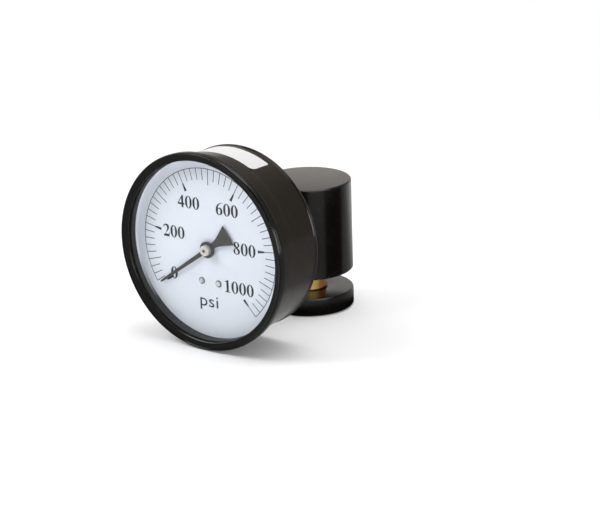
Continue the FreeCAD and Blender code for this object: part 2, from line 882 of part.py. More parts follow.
def make_bourdon_tube():
    body = new_body("bourdon_tube")
    section = new_sketch(body, "tube_section", "XZ_Plane")
    centre = (size.tube_bend_radius, size.tube_plane)
    half_width = size.tube_width / 2
    half_height = size.tube_height / 2
    eased_box(section, centre, half_width, half_height, size.tube_corner)
    eased_box(section, centre, half_width - size.tube_wall, half_height - size.tube_wall,
              size.tube_corner - size.tube_wall / 2)
    turn_about_axis(body, "tube_bend", section, size.tube_sweep)
    return stand_gauge(body, -size.tube_end_angle)


def make_tube_tip():
    body = new_body("tube_tip")
    inner = size.tube_bend_radius - size.tube_width / 2 - size.tip_margin
    outer = size.tube_bend_radius + size.tube_width / 2 + size.tip_margin
    near = -size.tube_end_angle
    far = near - size.tip_angle
    low = size.tube_plane - size.tube_height / 2 - size.tip_margin
    arm_top = sector_top
    arm_low = arm_top - size.tip_arm_thick
    plug = new_sketch(body, "plug_outline", offset=(0, 0, low))
    outline(plug, [polar(inner, near), polar(inner, far), polar(outer, far), polar(outer, near)])
    raised(body, "plug", plug, arm_top - low)
    half = size.tip_arm_width / 2
    eye = (link_x, -size.tip_arm_drop)
    root = size.tube_bend_radius
    arm = new_sketch(body, "arm_outline", offset=(0, 0, arm_low))
    outline(arm, [(link_x, -size.tip_arm_drop - half), (root, -size.tip_arm_drop - half),
                  (root, -size.tip_arm_drop + half), (link_x, -size.tip_arm_drop + half)])
    raised(body, "arm", arm, size.tip_arm_thick)
    raised(body, "arm_end", circle(new_sketch(body, "arm_end_edge", offset=(0, 0, arm_low)), half, eye),
           size.tip_arm_thick)
    pin = circle(new_sketch(body, "pin_edge", offset=(0, 0, arm_low)), size.link_pin_radius, eye)
    raised(body, "pin", pin, link_top + size.link_lift - arm_low)
    return stand_gauge(body)


def make_link():
    body = new_body("link")
    half = size.link_width / 2
    slot = size.link_pin_radius + size.link_play
    top = -size.tip_arm_drop
    foot = -sector_drop - tail_rise
    bar = new_sketch(body, "bar_outline", offset=(0, 0, link_base))
    outline(bar, [(link_x - half, foot - half), (link_x + half, foot - half),
                  (link_x + half, top + half), (link_x - half, top + half)])
    raised(body, "bar", bar, size.link_thick)
    rounded(body, "bar_ends", half * 0.9, upright_edge)
    eye = new_sketch(body, "eye_edge", offset=(0, 0, link_top))
    circle(eye, slot + size.tail_length - link_x, (link_x, foot))
    sunk(body, "eye", eye, size.link_thick)
    slot_outline = new_sketch(body, "slot_outline", offset=(0, 0, link_top))
    oval(slot_outline, link_x, top - link_travel, top, slot)
    sunk(body, "slot", slot_outline, size.link_thick)
    return stand_gauge(body)


def tooth(body, name, height, drop, root_radius, tip_radius, angle, length):
    """One straight-sided tooth, standing on a root circle about (0, -drop)."""
    sketch = new_sketch(body, f"{name}_outline", offset=(0, -drop, height), turn=angle)
    base = size.tooth_base_width / 2
    tip = size.tooth_tip_width / 2
    sunk_root = root_radius - size.mesh_play * 2
    outline(sketch, [(sunk_root, -base), (tip_radius, -tip), (tip_radius, tip), (sunk_root, base)])
    return sketch, raised(body, name, sketch, length)


def make_pinion():
    root = pinion_radius - size.tooth_root
    low = movement_floor + size.pinion_lift
    high = low + size.pinion_face
    body = turned("pinion", [
        (0, block_face + size.pivot_play),
        (size.arbor_radius, block_face + size.pivot_play),
        (size.arbor_radius, low),
        (root, low),
        (root, high),
        (size.arbor_radius, high),
        (size.arbor_radius, hub_front - size.pivot_play),
        (0, hub_front - size.pivot_play),
    ])
    half_pitch = 180 / size.pinion_teeth
    sketch, first = tooth(body, "pinion_tooth", low, as_size(0), root, pinion_radius + size.tooth_rise,
                          half_pitch - 90, size.pinion_face)
    repeated(body, "pinion_ring", first, sketch, size.pinion_teeth, 360)
    return stand_gauge(body)


def make_sector_gear():
    body = new_body("sector_gear")
    root = sector_radius - size.tooth_root
    pitch = 360 / size.sector_teeth
    start = 90 + pitch
    span = pitch * (size.sector_teeth_cut - 1)
    end = start - span
    rim_inner = root - size.sector_rim
    low = sector_base
    hub = new_sketch(body, "sector_hub_edge", offset=(0, -sector_drop, movement_floor + size.pivot_play))
    raised(body, "sector_hub", circle(hub, size.sector_hub_radius), size.plate_spacing - size.pivot_play * 2)
    arbor = new_sketch(body, "sector_arbor_edge", offset=(0, -sector_drop, block_face + size.pivot_play))
    raised(body, "sector_arbor", circle(arbor, size.arbor_radius),
           size.plate_spacing + (size.plate_thick - size.pivot_play) * 2)
    web = new_sketch(body, "web_outline", offset=(0, -sector_drop, low))
    steps = 6
    arc = [polar(root, start + pitch / 2 - (span + pitch) * step / steps) for step in range(steps + 1)]
    outline(web, arc + [(size.sector_hub_radius * 0.8, 0), (-size.sector_hub_radius * 0.8, 0)])
    raised(body, "web", web, size.sector_thick)
    window = new_sketch(body, "window_outline", offset=(0, -sector_drop, sector_top))
    window_low = size.sector_hub_radius * 2.4
    outline(window, [polar(rim_inner, start - span * 0.12), polar(rim_inner, end + span * 0.12),
                     polar(window_low, end + span * 0.3), polar(window_low, start - span * 0.3)])
    sunk(body, "window", window, size.sector_thick)
    tail = new_sketch(body, "tail_outline", offset=(0, -sector_drop, low), turn=-size.tail_angle)
    half = size.tail_width / 2
    outline(tail, [(0, -half), (size.tail_length, -half), (size.tail_length, half), (0, half)])
    raised(body, "tail", tail, size.sector_thick)
    tail_end = (tail_x, -tail_rise)
    for name, radius, length in (("tail_end", size.tail_end_radius, size.sector_thick),
                                 ("tail_pin", size.link_pin_radius, link_top + size.link_lift - low)):
        edge = new_sketch(body, f"{name}_edge", offset=(0, -sector_drop, low))
        raised(body, name, circle(edge, radius, tail_end), length)
    sketch, first = tooth(body, "sector_tooth", low, sector_drop, root, sector_radius + size.tooth_rise,
                          start, size.sector_thick)
    repeated(body, "sector_teeth_row", first, sketch, size.sector_teeth_cut, span, clockwise=True)
    return stand_gauge(body)


def plate_with_pivots(label, height):
    """A movement plate with its two pivot holes."""
    body = new_body(label)
    side = size.plate_width / 2
    edge = new_sketch(body, f"{label}_outline", offset=(0, 0, height))
    outline(edge, [(-side, -size.plate_drop), (side, -size.plate_drop), (side, size.plate_rise),
                   (-side, size.plate_rise)])
    raised(body, f"{label}_sheet", edge, size.plate_thick)
    rounded(body, f"{label}_corners", size.plate_corner, upright_edge)
    holes = new_sketch(body, f"{label}_pivots", offset=(0, 0, height + size.plate_thick))
    for place in ((0, 0), (0, -sector_drop)):
        circle(holes, size.arbor_radius + size.running_gap, place)
    sunk(body, f"{label}_pivot_drillings", holes, size.plate_thick)
    return body


def pillar_places():
    return [(size.pillar_across / 2, size.pillar_rise), (-size.pillar_across / 2, size.pillar_rise),
            (-size.pillar_left, -size.pillar_drop)]


def make_movement_plates():
    back = plate_with_pivots("movement_back_plate", block_face)
    front = plate_with_pivots("movement_front_plate", movement_ceiling)
    front_face = movement_ceiling + size.plate_thick
    for side, name in ((1, "right"), (-1, "left")):
        place = (size.dial_screw_across / 2 * side, -size.dial_screw_drop)
        post = circle(new_sketch(front, f"{name}_post_edge", offset=(0, 0, movement_ceiling)),
                      size.dial_post_radius, place)
        raised(front, f"{name}_post", post, dial_back - movement_ceiling)
    tapped = new_sketch(front, "post_holes", offset=(0, 0, dial_back))
    for side in (1, -1):
        circle(tapped, size.dial_screw_radius + size.thread_gap,
               (size.dial_screw_across / 2 * side, -size.dial_screw_drop))
    sunk(front, "post_drillings", tapped, dial_back - front_face)
    screw_holes = new_sketch(front, "plate_screw_holes", offset=(0, 0, front_face))
    for place in pillar_places():
        circle(screw_holes, size.plate_screw_radius + size.seat_gap, place)
    sunk(front, "plate_screw_drillings", screw_holes, size.plate_thick)
    stud_place = (spring_end + size.spring_strip / 2 + size.stud_radius, 0)
    stud = circle(new_sketch(front, "stud_edge", offset=(0, 0, movement_floor + size.spring_lift)),
                  size.stud_radius, stud_place)
    raised(front, "hairspring_stud", stud, movement_ceiling - movement_floor - size.spring_lift)
    return stand_gauge(back), stand_gauge(front)


def rod_between(label, radius, low, high, place):
    """A plain round piece of the gauge, drawn as a primitive."""
    piece = doc.addObject("Part::Cylinder", label)
    bind(piece, "Radius", radius)
    bind(piece, "Height", high - low)
    x, y = place
    spot = (as_size(x), -size.gauge_reach - low, size.gauge_height + y)
    piece.Placement = FreeCAD.Placement(FreeCAD.Vector(*[part.number for part in spot]),
                                        FreeCAD.Rotation(FreeCAD.Vector(1, 0, 0), 90))
    for axis, part in zip("xyz", spot):
        bind(piece, f"Placement.Base.{axis}", part)
    return piece


def grouped(label, pieces):
    """Identical pieces kept together as one named group of separate solids."""
    group = doc.addObject("Part::Compound", label)
    group.Label = label
    group.Links = pieces
    return group


def screws(label, places, radius, head_radius, head_low, head_high, shank_low, shank_high):
    """A group of plain screws: each a head and a shank in one piece."""
    pieces = []
    for index, place in enumerate(places, start=1):
        head = rod_between(f"{label}_head_{index}", head_radius, head_low, head_high, place)
        shank = rod_between(f"{label}_shank_{index}", radius, shank_low, shank_high, place)
        whole = doc.addObject("Part::Fuse", f"{label}_{index}")
        whole.Base = head
        whole.Tool = shank
        pieces.append(whole)
    return grouped(label, pieces)


def make_dial_screws():
    places = [(size.dial_screw_across / 2 * side, -size.dial_screw_drop) for side in (1, -1)]
    return screws("dial_screws", places, size.dial_screw_radius, size.dial_screw_head_radius,
                  dial_face, dial_face + size.dial_screw_head_height,
                  movement_ceiling + size.plate_thick * 2, dial_face)


def make_case_screws():
    places = [(0, size.case_screw_offset * side) for side in (1, -1)]
    outside = size.case_back_recess
    return screws("case_screws", places, size.case_screw_radius, size.case_screw_head_radius,
                  outside - size.case_screw_head_height, outside, outside,
                  back_inside + size.case_screw_length - size.seat_gap)


def make_movement_pillars():
    pieces = []
    hole_low = movement_ceiling - size.plate_screw_length
    for index, place in enumerate(pillar_places(), start=1):
        pillar = doc.addObject("Part::Cut", f"pillar_{index}")
        pillar.Base = rod_between(f"pillar_bar_{index}", size.pillar_radius, movement_floor,
                                  movement_ceiling, place)
        pillar.Tool = rod_between(f"pillar_hole_{index}", size.plate_screw_radius + size.thread_gap,
                                  hole_low, movement_ceiling, place)
        pieces.append(pillar)
    return grouped("movement_pillars", pieces)


def make_movement_screws():
    face = movement_ceiling + size.plate_thick
    return screws("movement_screws", pillar_places(), size.plate_screw_radius, size.plate_screw_head_radius,
                  face, face + size.plate_screw_head_height,
                  movement_ceiling - size.plate_screw_length + size.rest_gap, face)


def half_ring(sketch, radius, centre, upper):
    """Half a circle above or below the line of the centres, with both ends on that line."""
    place = FreeCAD.Vector(number_of(centre), 0, 0)
    shape = Part.Circle(place, FreeCAD.Vector(0, 0, 1), number_of(radius))
    start, end = (0, math.pi) if upper else (math.pi, 2 * math.pi)
    index = sketch.addGeometry(Part.ArcOfCircle(shape, start, end), False)
    hold(sketch, "DistanceX", index, 3, centre)
    hold(sketch, "DistanceY", index, 3, 0)
    number = sketch.addConstraint(Sketcher.Constraint("Radius", index, number_of(radius)))
    bind(sketch, f"Constraints[{number}]", radius)
    for point in (1, 2):
        sketch.addConstraint(Sketcher.Constraint("PointOnObject", index, point, -1))


def make_hairspring():
    body = new_body("hairspring")
    flat = new_sketch(body, "spiral", offset=(0, 0, movement_floor + size.spring_lift))
    shift = size.spring_growth / 2
    half_strip = size.spring_strip / 2
    for side in (-1, 1):
        for step in range(SIZES["spring_half_turns"]):
            centre = shift if step % 2 else as_size(0)
            half_ring(flat, size.spring_inner_radius + shift * step + half_strip * side, centre, step % 2 == 0)
    for reach in (size.spring_inner_radius, spring_end):
        near, far = reach - half_strip, reach + half_strip
        line = Part.LineSegment(FreeCAD.Vector(near.number, 0, 0), FreeCAD.Vector(far.number, 0, 0))
        index = flat.addGeometry(line, False)
        for point, place in ((1, near), (2, far)):
            hold(flat, "DistanceX", index, point, place)
            hold(flat, "DistanceY", index, point, 0)
    raised(body, "strip", flat, size.spring_height)
    return stand_gauge(body)


for make in (make_cylinder_body, make_rod_gland, make_rod_wiper, make_retaining_ring, make_piston_rod,
             make_piston_seals, make_foot_disc, make_set_screw, make_gauge_case, make_bezel_ring, make_lens,
             make_lens_gasket, make_dial, make_pointer, make_pointer_hub, make_gauge_stem, make_restrictor,
             make_bourdon_tube, make_tube_tip, make_link, make_pinion, make_sector_gear,
             make_movement_plates, make_dial_screws, make_case_screws, make_movement_pillars,
             make_movement_screws, make_hairspring):
    make()
    print(make.__name__)

doc.recompute()

NODES = ["cylinder_body", "rod_gland", "rod_wiper", "retaining_ring", "piston_rod", "backup_ring",
         "piston_seal", "foot_disc", "set_screw", "gauge_case", "bezel_ring", "lens", "lens_gasket", "dial",
         "pointer", "pointer_hub", "gauge_stem", "restrictor", "bourdon_tube", "tube_tip", "link", "pinion",
         "sector_gear", "movement_back_plate", "movement_front_plate", "dial_screws", "case_screws",
         "movement_pillars", "movement_screws", "hairspring"]

for thing in doc.Objects:
    if "Invalid" in thing.State or "Error" in thing.State:
        raise RuntimeError(f"{thing.Name} failed: {thing.State}")
for label in NODES:
    shape = doc.getObjectsByLabel(label)[0].Shape
    if shape.isNull() or not shape.isValid():
        raise RuntimeError(f"{label} has no valid shape")
for label in NODES:
    shape = doc.getObjectsByLabel(label)[0].Shape
    shape.exportStep(f"parts/{label}.step")
    box = shape.BoundBox
    print(f"{label}: {len(shape.Solids)} solids, {shape.Volume:.1f} mm3, x {box.XMin:.2f}..{box.XMax:.2f} "
          f"y {box.YMin:.2f}..{box.YMax:.2f} z {box.ZMin:.2f}..{box.ZMax:.2f}")
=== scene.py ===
# %% [markdown]
# # A hydraulic spring tester with a dial gauge
#
# The tester is a black cylinder on a short brass ram, with a large dial gauge in its side.
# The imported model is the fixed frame: it says where every piece goes. Here the visible
# pieces get finer meshes, printed marks and finishes. Hidden pieces keep their own mesh.

# %% Load the frame
import json
import math

import bmesh
import bpy
from mathutils import Matrix, Vector


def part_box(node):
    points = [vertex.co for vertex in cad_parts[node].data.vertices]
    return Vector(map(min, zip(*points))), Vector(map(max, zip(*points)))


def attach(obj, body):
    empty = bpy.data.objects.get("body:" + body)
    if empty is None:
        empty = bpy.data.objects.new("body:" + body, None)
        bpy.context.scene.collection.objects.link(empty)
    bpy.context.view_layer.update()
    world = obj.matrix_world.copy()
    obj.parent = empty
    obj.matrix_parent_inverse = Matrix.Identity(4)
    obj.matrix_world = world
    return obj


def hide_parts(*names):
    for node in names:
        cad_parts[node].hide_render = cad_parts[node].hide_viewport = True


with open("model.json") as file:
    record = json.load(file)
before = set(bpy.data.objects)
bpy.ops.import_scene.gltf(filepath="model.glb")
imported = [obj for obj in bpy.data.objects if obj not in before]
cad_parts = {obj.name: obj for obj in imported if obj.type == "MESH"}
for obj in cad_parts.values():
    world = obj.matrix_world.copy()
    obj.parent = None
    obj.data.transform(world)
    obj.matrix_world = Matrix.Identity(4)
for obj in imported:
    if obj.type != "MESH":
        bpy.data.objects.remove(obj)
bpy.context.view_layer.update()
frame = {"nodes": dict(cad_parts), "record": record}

nodes = frame["nodes"]

# %% [markdown]
# ## Two places to work in
#
# Sizes on a drawing of this tester are millimetres, and Blender works in metres, so one
# matrix for each place turns the first into the second. Cylinder pieces are drawn standing
# up. Gauge pieces are drawn lying on their back, with Z out of the dial, as on a lathe.

# %% Places and shared sizes
MM = 0.001
case_low, case_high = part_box("gauge_case")
GAUGE_REACH = -case_high.y / MM
GAUGE_HEIGHT = (case_low.z + case_high.z) / 2 / MM
UPRIGHT = Matrix.Identity(4)
TO_FRONT = Matrix.Rotation(math.radians(90), 4, "X")
GAUGE = Matrix.Translation((0, -GAUGE_REACH * MM, GAUGE_HEIGHT * MM)) @ TO_FRONT
FIXED = "cylinder_and_gauge"
RAM = "ram"
POINTER_TRAIN = "pointer_train"


def gauge_z(node, face):
    """How far the front or rear of a gauge node stands in front of the case's rear rim."""
    low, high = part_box(node)
    y = low.y if face == "front" else high.y
    return -y / MM - GAUGE_REACH


dial_face = gauge_z("dial", "front")
lens_front = gauge_z("lens", "front")
bezel_front = gauge_z("bezel_ring", "front")
bezel_rear = gauge_z("bezel_ring", "rear")
bezel_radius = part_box("bezel_ring")[1].x / MM
case_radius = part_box("gauge_case")[1].x / MM
body_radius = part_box("cylinder_body")[1].x / MM
body_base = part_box("cylinder_body")[0].z / MM
body_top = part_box("cylinder_body")[1].z / MM
foot_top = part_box("foot_disc")[1].z / MM
pointer_base = gauge_z("pointer", "rear")
print(f"dial at {dial_face:.2f}, lens at {lens_front:.2f}, bezel radius {bezel_radius:.2f} mm")

# %% [markdown]
# ## The camera
#
# The photograph was taken from the right of the dial and a little above it, with a long
# lens. The tester leans forward on its bezel, so the camera is placed in the tester's own
# frame and the floor is tilted under it, and no CAD node has to move.

# %% Camera
def add_object(name, data):
    """A new object in the scene, which holds this mesh, curve, camera or lamp."""
    thing = bpy.data.objects.new(name, data)
    bpy.context.scene.collection.objects.link(thing)
    return thing


EYE = Vector((0.57779, -0.77443, 0.33766))
LOOK_BACK = Vector((0.571654, -0.758999, 0.311662))
LOOK_UP = Vector((-0.162505, 0.267588, 0.949731))
LENS_MM = 121.76
FILM_MM = 36

camera_data = bpy.data.cameras.new("camera")
camera_data.lens = LENS_MM
camera_data.sensor_width = FILM_MM
camera_data.clip_start = 0.01
camera = add_object("camera", camera_data)
look_right = LOOK_UP.cross(LOOK_BACK).normalized()
axes = Matrix((look_right, LOOK_BACK.cross(look_right), LOOK_BACK)).transposed()
camera.matrix_world = Matrix.Translation(EYE) @ axes.to_4x4()
bpy.context.scene.camera = camera
print("camera", [round(value, 3) for value in camera.location], "lens", LENS_MM)

# %% [markdown]
# ## Shader maths as Python
#
# A material is a small tree of nodes. Written as expressions it stays readable, so one
# class wraps an output socket and gives it Python's signs: `1 - mask * 0.5` adds its own
# Math nodes. Every other node comes from one method of `Finish`.

# %% Wires and finishes
class Wire:
    """An output socket, with plus, minus, times, divide and power."""

    def __init__(self, finish, socket):
        self.finish = finish
        self.socket = socket

    def maths(self, operation, first, second):
        return self.finish.node("ShaderNodeMath", {"operation": operation}, {0: first, 1: second})

    def __add__(self, other):
        return self.maths("ADD", self, other)

    def __radd__(self, other):
        return self.maths("ADD", other, self)

    def __sub__(self, other):
        return self.maths("SUBTRACT", self, other)

    def __rsub__(self, other):
        return self.maths("SUBTRACT", other, self)

    def __mul__(self, other):
        return self.maths("MULTIPLY", self, other)

    def __rmul__(self, other):
        return self.maths("MULTIPLY", other, self)

    def __truediv__(self, other):
        return self.maths("DIVIDE", self, other)

    def __pow__(self, other):
        return self.maths("POWER", self, other)


class Finish:
    """A material: a Principled shader and the nodes that feed it."""

    def __init__(self, name):
        self.material = bpy.data.materials.new(name)
        self.material.use_nodes = True
        self.tree = self.material.node_tree
        self.shader = self.tree.nodes["Principled BSDF"]

    def feed(self, socket, value):
        if isinstance(value, Wire):
            self.tree.links.new(value.socket, socket)
        elif socket.type == "RGBA":
            socket.default_value = (*value, 1.0)
        else:
            socket.default_value = value

    def node(self, kind, settings=None, values=None, output=0):
        """Any node: its settings first, then its sockets, and one of its outputs back."""
        made = self.tree.nodes.new(kind)
        for name, setting in (settings or {}).items():
            setattr(made, name, setting)
        for name, value in (values or {}).items():
            self.feed(made.inputs[name], value)
        return Wire(self, made.outputs[output])

    def put(self, **sockets):
        """Set or link the Principled shader's sockets, named with underscores for spaces."""
        inputs = {socket.name.lower().replace(" ", "_"): socket for socket in self.shader.inputs}
        for name, value in sockets.items():
            self.feed(inputs[name], value)

    def principled(self):
        return Wire(self, self.shader.outputs[0])

    def surface(self, shader):
        """Show this shader instead of the Principled one alone."""
        self.feed(self.tree.nodes["Material Output"].inputs["Surface"], shader)

    def place(self):
        """Where a point is on its own piece, in metres, along x, y and z."""
        parts = {0: self.node("ShaderNodeTexCoord", output="Object")}
        return tuple(self.node("ShaderNodeSeparateXYZ", values=parts, output=axis)
                     for axis in "XYZ")

    def reach(self, x, y):
        """How far (x, y) is from the middle."""
        return (x ** 2.0 + y ** 2.0) ** 0.5

    def vector(self, x, y, z):
        return self.node("ShaderNodeCombineXYZ", values={"X": x, "Y": y, "Z": z})

    def noise(self, vector, scale=1.0, detail=2.0, roughness=0.5):
        values = {"Vector": vector, "Scale": scale, "Detail": detail, "Roughness": roughness}
        return self.node("ShaderNodeTexNoise", values=values, output="Fac")

    def specks(self, size_mm, detail=2.0, stretch=(1, 1, 1)):
        """Cloudy noise whose blotches are about that wide."""
        x, y, z = self.place()
        scale = [1000 / size_mm / part for part in stretch]
        return self.noise(self.vector(x * scale[0], y * scale[1], z * scale[2]), detail=detail)

    def rings(self, pitch_mm, detail=2.0):
        """Tool marks round the piece's own Z axis: rings on its faces, fine hoops on its side."""
        x, y, z = self.place()
        count = 1000 / pitch_mm
        return self.noise(self.vector(self.reach(x, y) * count, z * count, 0.0), detail=detail)

    def ramp(self, factor, low, high):
        """Stretch a factor between two limits to 0 and 1, and hold it there."""
        values = {"Value": factor, "From Min": low, "From Max": high}
        return self.node("ShaderNodeMapRange", {"clamp": True}, values)

    def blend(self, factor, first, second):
        """Mix two colours."""
        values = {0: factor, 6: first, 7: second}
        return self.node("ShaderNodeMix", {"data_type": "RGBA"}, values, output=2)

    def mix(self, factor, first, second):
        """Mix two shaders."""
        return self.node("ShaderNodeMixShader", values={0: factor, 1: first, 2: second})

    def bump(self, height, depth_mm, strength):
        values = {"Height": height, "Distance": depth_mm * MM, "Strength": strength}
        return self.node("ShaderNodeBump", values=values)


print("shader maths ready")

# %% [markdown]
# ## Black finishes
#
# Three blacks meet here. The cylinder and foot are anodised: a thin hard skin over turned
# metal, so faint tool marks show in the shine. The gauge case is painted steel, glossy and
# slightly rippled. The bezel is the same paint on a spun ring. Black paint is nearly black
# and still shines, so the shine carries the shape.

# %% Blacks
def anodised():
    skin = Finish("black_anodised")
    marks = skin.rings(0.35, detail=3.0)
    cloud = skin.specks(9.0, detail=3.0)
    dust = skin.ramp(skin.specks(0.5, detail=1.0), 0.70, 0.78)
    dark = skin.blend(cloud, (0.0030, 0.0022, 0.0014), (0.0045, 0.0035, 0.0024))
    skin.put(base_color=skin.blend(dust * 0.25, dark, (0.05, 0.05, 0.047)),
             roughness=0.16 + cloud * 0.10 + dust * 0.2, specular_ior_level=0.5,
             normal=skin.bump(marks, 0.004, 0.35))
    return skin.material


def case_paint():
    paint = Finish("case_black")
    ripple = paint.specks(1.6, detail=2.0)
    cloud = paint.specks(14.0, detail=3.0)
    dust = paint.ramp(paint.specks(0.4, detail=1.0), 0.72, 0.80)
    dark = paint.blend(cloud, (0.0075, 0.0046, 0.0018), (0.0100, 0.0064, 0.0028))
    paint.put(base_color=paint.blend(dust * 0.3, dark, (0.06, 0.055, 0.05)),
              roughness=0.10 + cloud * 0.06, specular_ior_level=0.48,
              normal=paint.bump(ripple, 0.006, 0.30))
    return paint.material


def bezel_paint():
    paint = Finish("bezel_black")
    spun = paint.rings(0.5, detail=2.0)
    cloud = paint.specks(11.0, detail=3.0)
    worn = paint.ramp(paint.specks(0.7, detail=2.0), 0.68, 0.80)
    dark = paint.blend(cloud, (0.0028, 0.0029, 0.0022), (0.0045, 0.0046, 0.0036))
    paint.put(base_color=paint.blend(worn * 0.2, dark, (0.05, 0.05, 0.045)),
              roughness=0.11 + cloud * 0.07, specular_ior_level=0.37,
              normal=paint.bump(spun, 0.005, 0.30))
    return paint.material


# %% [markdown]
# ## Metals
#
# The ram is a turned brass bar: fine hoops from the lathe tool catch the light. The stem
# and the movement are brass too, duller where hands and air have touched them. Steel,
# bronze and the silvery hub follow the same recipe with other colours. On the ram, painted
# shade is laid over its colour, with masks made from where a point lies on the bar: its side
# away from the key lamp is painted darker and copper brown, and a dark band is painted where
# it enters the foot.

# %% Metals
def turned_metal(name, bright, dull, shine, marks_mm=0.25, tarnish=0.5, bare=1.0, shade_overlay=None):
    """A turned metal: two colours of it, a base roughness, and how wide its tool marks are.

    `bare` falls below 1 where a plating or a dull skin scatters some of the light, and
    `shade_overlay` is a function that lays painted shade over the colour."""
    metal = Finish(name)
    marks = metal.rings(marks_mm, detail=3.0)
    cloud = metal.specks(3.0, detail=4.0)
    spots = metal.ramp(metal.specks(0.8, detail=2.0), 0.60, 0.75)
    colour = metal.blend(spots * tarnish * 0.5, metal.blend(cloud * tarnish, bright, dull), dull)
    metal.put(base_color=shade_overlay(metal, colour) if shade_overlay else colour, metallic=bare,
              roughness=shine + marks * 0.08 + cloud * 0.08,
              normal=metal.bump(marks, 0.004, 0.45))
    return metal.material


SIDE_SHADE_FROM, SIDE_SHADE_TO = 4.0, 5.6
CONTACT_SHADE_FULL, CONTACT_SHADE_GONE = 0.3, 0.6


def ram_painted_shade(metal, colour):
    """Painted shade: the side away from the key lamp goes copper brown and darker, and a dark band
    where it enters the foot.
    """
    x, y, z = metal.place()
    # Painted shade: the side of the ram turned away from the key lamp is painted darker and copper
    # brown.
    side_shade = metal.ramp(x * 0.8 + y * 0.6, SIDE_SHADE_FROM * MM, SIDE_SHADE_TO * MM)
    # Painted shade: a dark band is painted round the ram just above the foot, for the shade where
    # the two meet.
    contact_shade = 1 - metal.ramp(z, (foot_top + CONTACT_SHADE_FULL) * MM, (foot_top + CONTACT_SHADE_GONE) * MM)
    side_shaded = metal.blend(side_shade * 0.9, colour, (0.70, 0.29, 0.10))
    return metal.blend(contact_shade, side_shaded, (0.030, 0.010, 0.004))


print("metals ready")


# %% [markdown]
# ## Dial, ink, rubber, glass and paper
#
# The dial is white enamel on a flat plate, a little uneven and faintly blue. Its ink is a
# dense matt black with small pinholes. The window is clear plastic sheet: a mirror-like skin
# whose reflection grows at a shallow angle over something you see straight through, so a
# Fresnel factor mixes a transparent shader with a glossy one.

# %% Enamel, ink and lacquer
def dial_enamel():
    enamel = Finish("dial_white")
    cloud = enamel.specks(16.0, detail=2.0)
    grain = enamel.specks(0.5, detail=2.0)
    white = enamel.blend(cloud, (0.80, 0.825, 0.92), (0.85, 0.86, 0.93))
    enamel.put(base_color=enamel.blend(grain * 0.12, white, (0.72, 0.75, 0.80)),
               roughness=0.42 + grain * 0.12, normal=enamel.bump(grain, 0.002, 0.2))
    return enamel.material


def dial_ink():
    ink = Finish("dial_ink")
    pinholes = ink.ramp(ink.specks(0.16, detail=1.0), 0.66, 0.74)
    thin = ink.specks(2.0, detail=2.0)
    black = ink.blend(thin, (0.018, 0.020, 0.023), (0.045, 0.048, 0.052))
    ink.put(base_color=ink.blend(pinholes * 0.4, black, (0.4, 0.42, 0.45)),
            roughness=0.5 + thin * 0.15)
    return ink.material


def pointer_lacquer():
    lacquer = Finish("pointer_black")
    cloud = lacquer.specks(2.5, detail=3.0)
    brushed = lacquer.specks(0.3, detail=2.0, stretch=(1, 1, 4))
    dark = lacquer.blend(cloud, (0.066, 0.063, 0.062), (0.094, 0.090, 0.086))
    lacquer.put(base_color=dark, roughness=0.32 + brushed * 0.15,
                normal=lacquer.bump(brushed, 0.003, 0.3))
    return lacquer.material


print("enamel, ink and lacquer ready")


# %% Rubber, plastic, paper and glass
def plain_moulded(name, low, high, rough, grain_mm):
    """Rubber and plastic: two close shades, and a fine grain that breaks up the shine."""
    moulded = Finish(name)
    grain = moulded.specks(grain_mm, detail=3.0)
    moulded.put(base_color=moulded.blend(grain, low, high), roughness=rough + grain * 0.12,
                normal=moulded.bump(grain, 0.01, 0.4))
    return moulded.material


PALE_TO = 27.0
CHANGE_HALF = 0.05
PAINTED_SHADE_DROP = 8.0
PAINTED_SHADE_FADE = 22.0


def gasket_ring():
    """The window's spacer: pale by the dial, black by the lens, and painted shade darkens it
    towards the bottom.
    """
    ring = Finish("gasket_grey")
    grain = ring.specks(0.9, detail=3.0)
    x, y, z = ring.place()
    change = -PALE_TO - GAUGE_REACH
    # Painted shade: from a little below the gauge's middle, the pale part fades to black towards
    # the bottom, for the shade under the window's lip.
    high = GAUGE_HEIGHT - PAINTED_SHADE_DROP
    pale = (ring.ramp(y, (change - CHANGE_HALF) * MM, (change + CHANGE_HALF) * MM)
            * ring.ramp(z, (high - PAINTED_SHADE_FADE) * MM, high * MM))
    light = ring.blend(grain, (0.88, 0.90, 0.94), (0.93, 0.94, 0.96))
    dark = ring.blend(grain, (0.016, 0.016, 0.016), (0.028, 0.028, 0.028))
    ring.put(base_color=ring.blend(pale, dark, light), roughness=0.48 + grain * 0.12,
             normal=ring.bump(grain, 0.01, 0.4))
    return ring.material


def sticker_paper():
    paper = Finish("sticker_white")
    fibre = paper.specks(0.35, detail=3.0)
    crease = paper.specks(6.0, detail=2.0)
    paper.put(base_color=paper.blend(fibre * 0.35, (0.62, 0.62, 0.61), (0.54, 0.54, 0.525)),
              roughness=0.38 + fibre * 0.2, normal=paper.bump(crease, 0.05, 0.35))
    return paper.material


def window_glass():
    glass = Finish("lens_clear")
    smear = glass.specks(12.0, detail=3.0)
    glass.put(base_color=(1.0, 1.0, 1.0), metallic=1.0, roughness=0.04 + smear * 0.04)
    clear = glass.node("ShaderNodeBsdfTransparent", values={"Color": (0.975, 0.985, 0.985)})
    skin = glass.node("ShaderNodeFresnel", values={"IOR": 1.45})
    outside = 1 - glass.node("ShaderNodeNewGeometry", output="Backfacing")
    share = skin * outside * 0.5
    glass.surface(glass.mix(share, clear, glass.principled()))
    return glass.material


print("rubber, plastic, paper and glass ready")

# %% [markdown]
# ## Every node gets its finish
#
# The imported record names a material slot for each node. A dictionary keeps one finish per
# slot, and a few more for the pieces that are made further down.

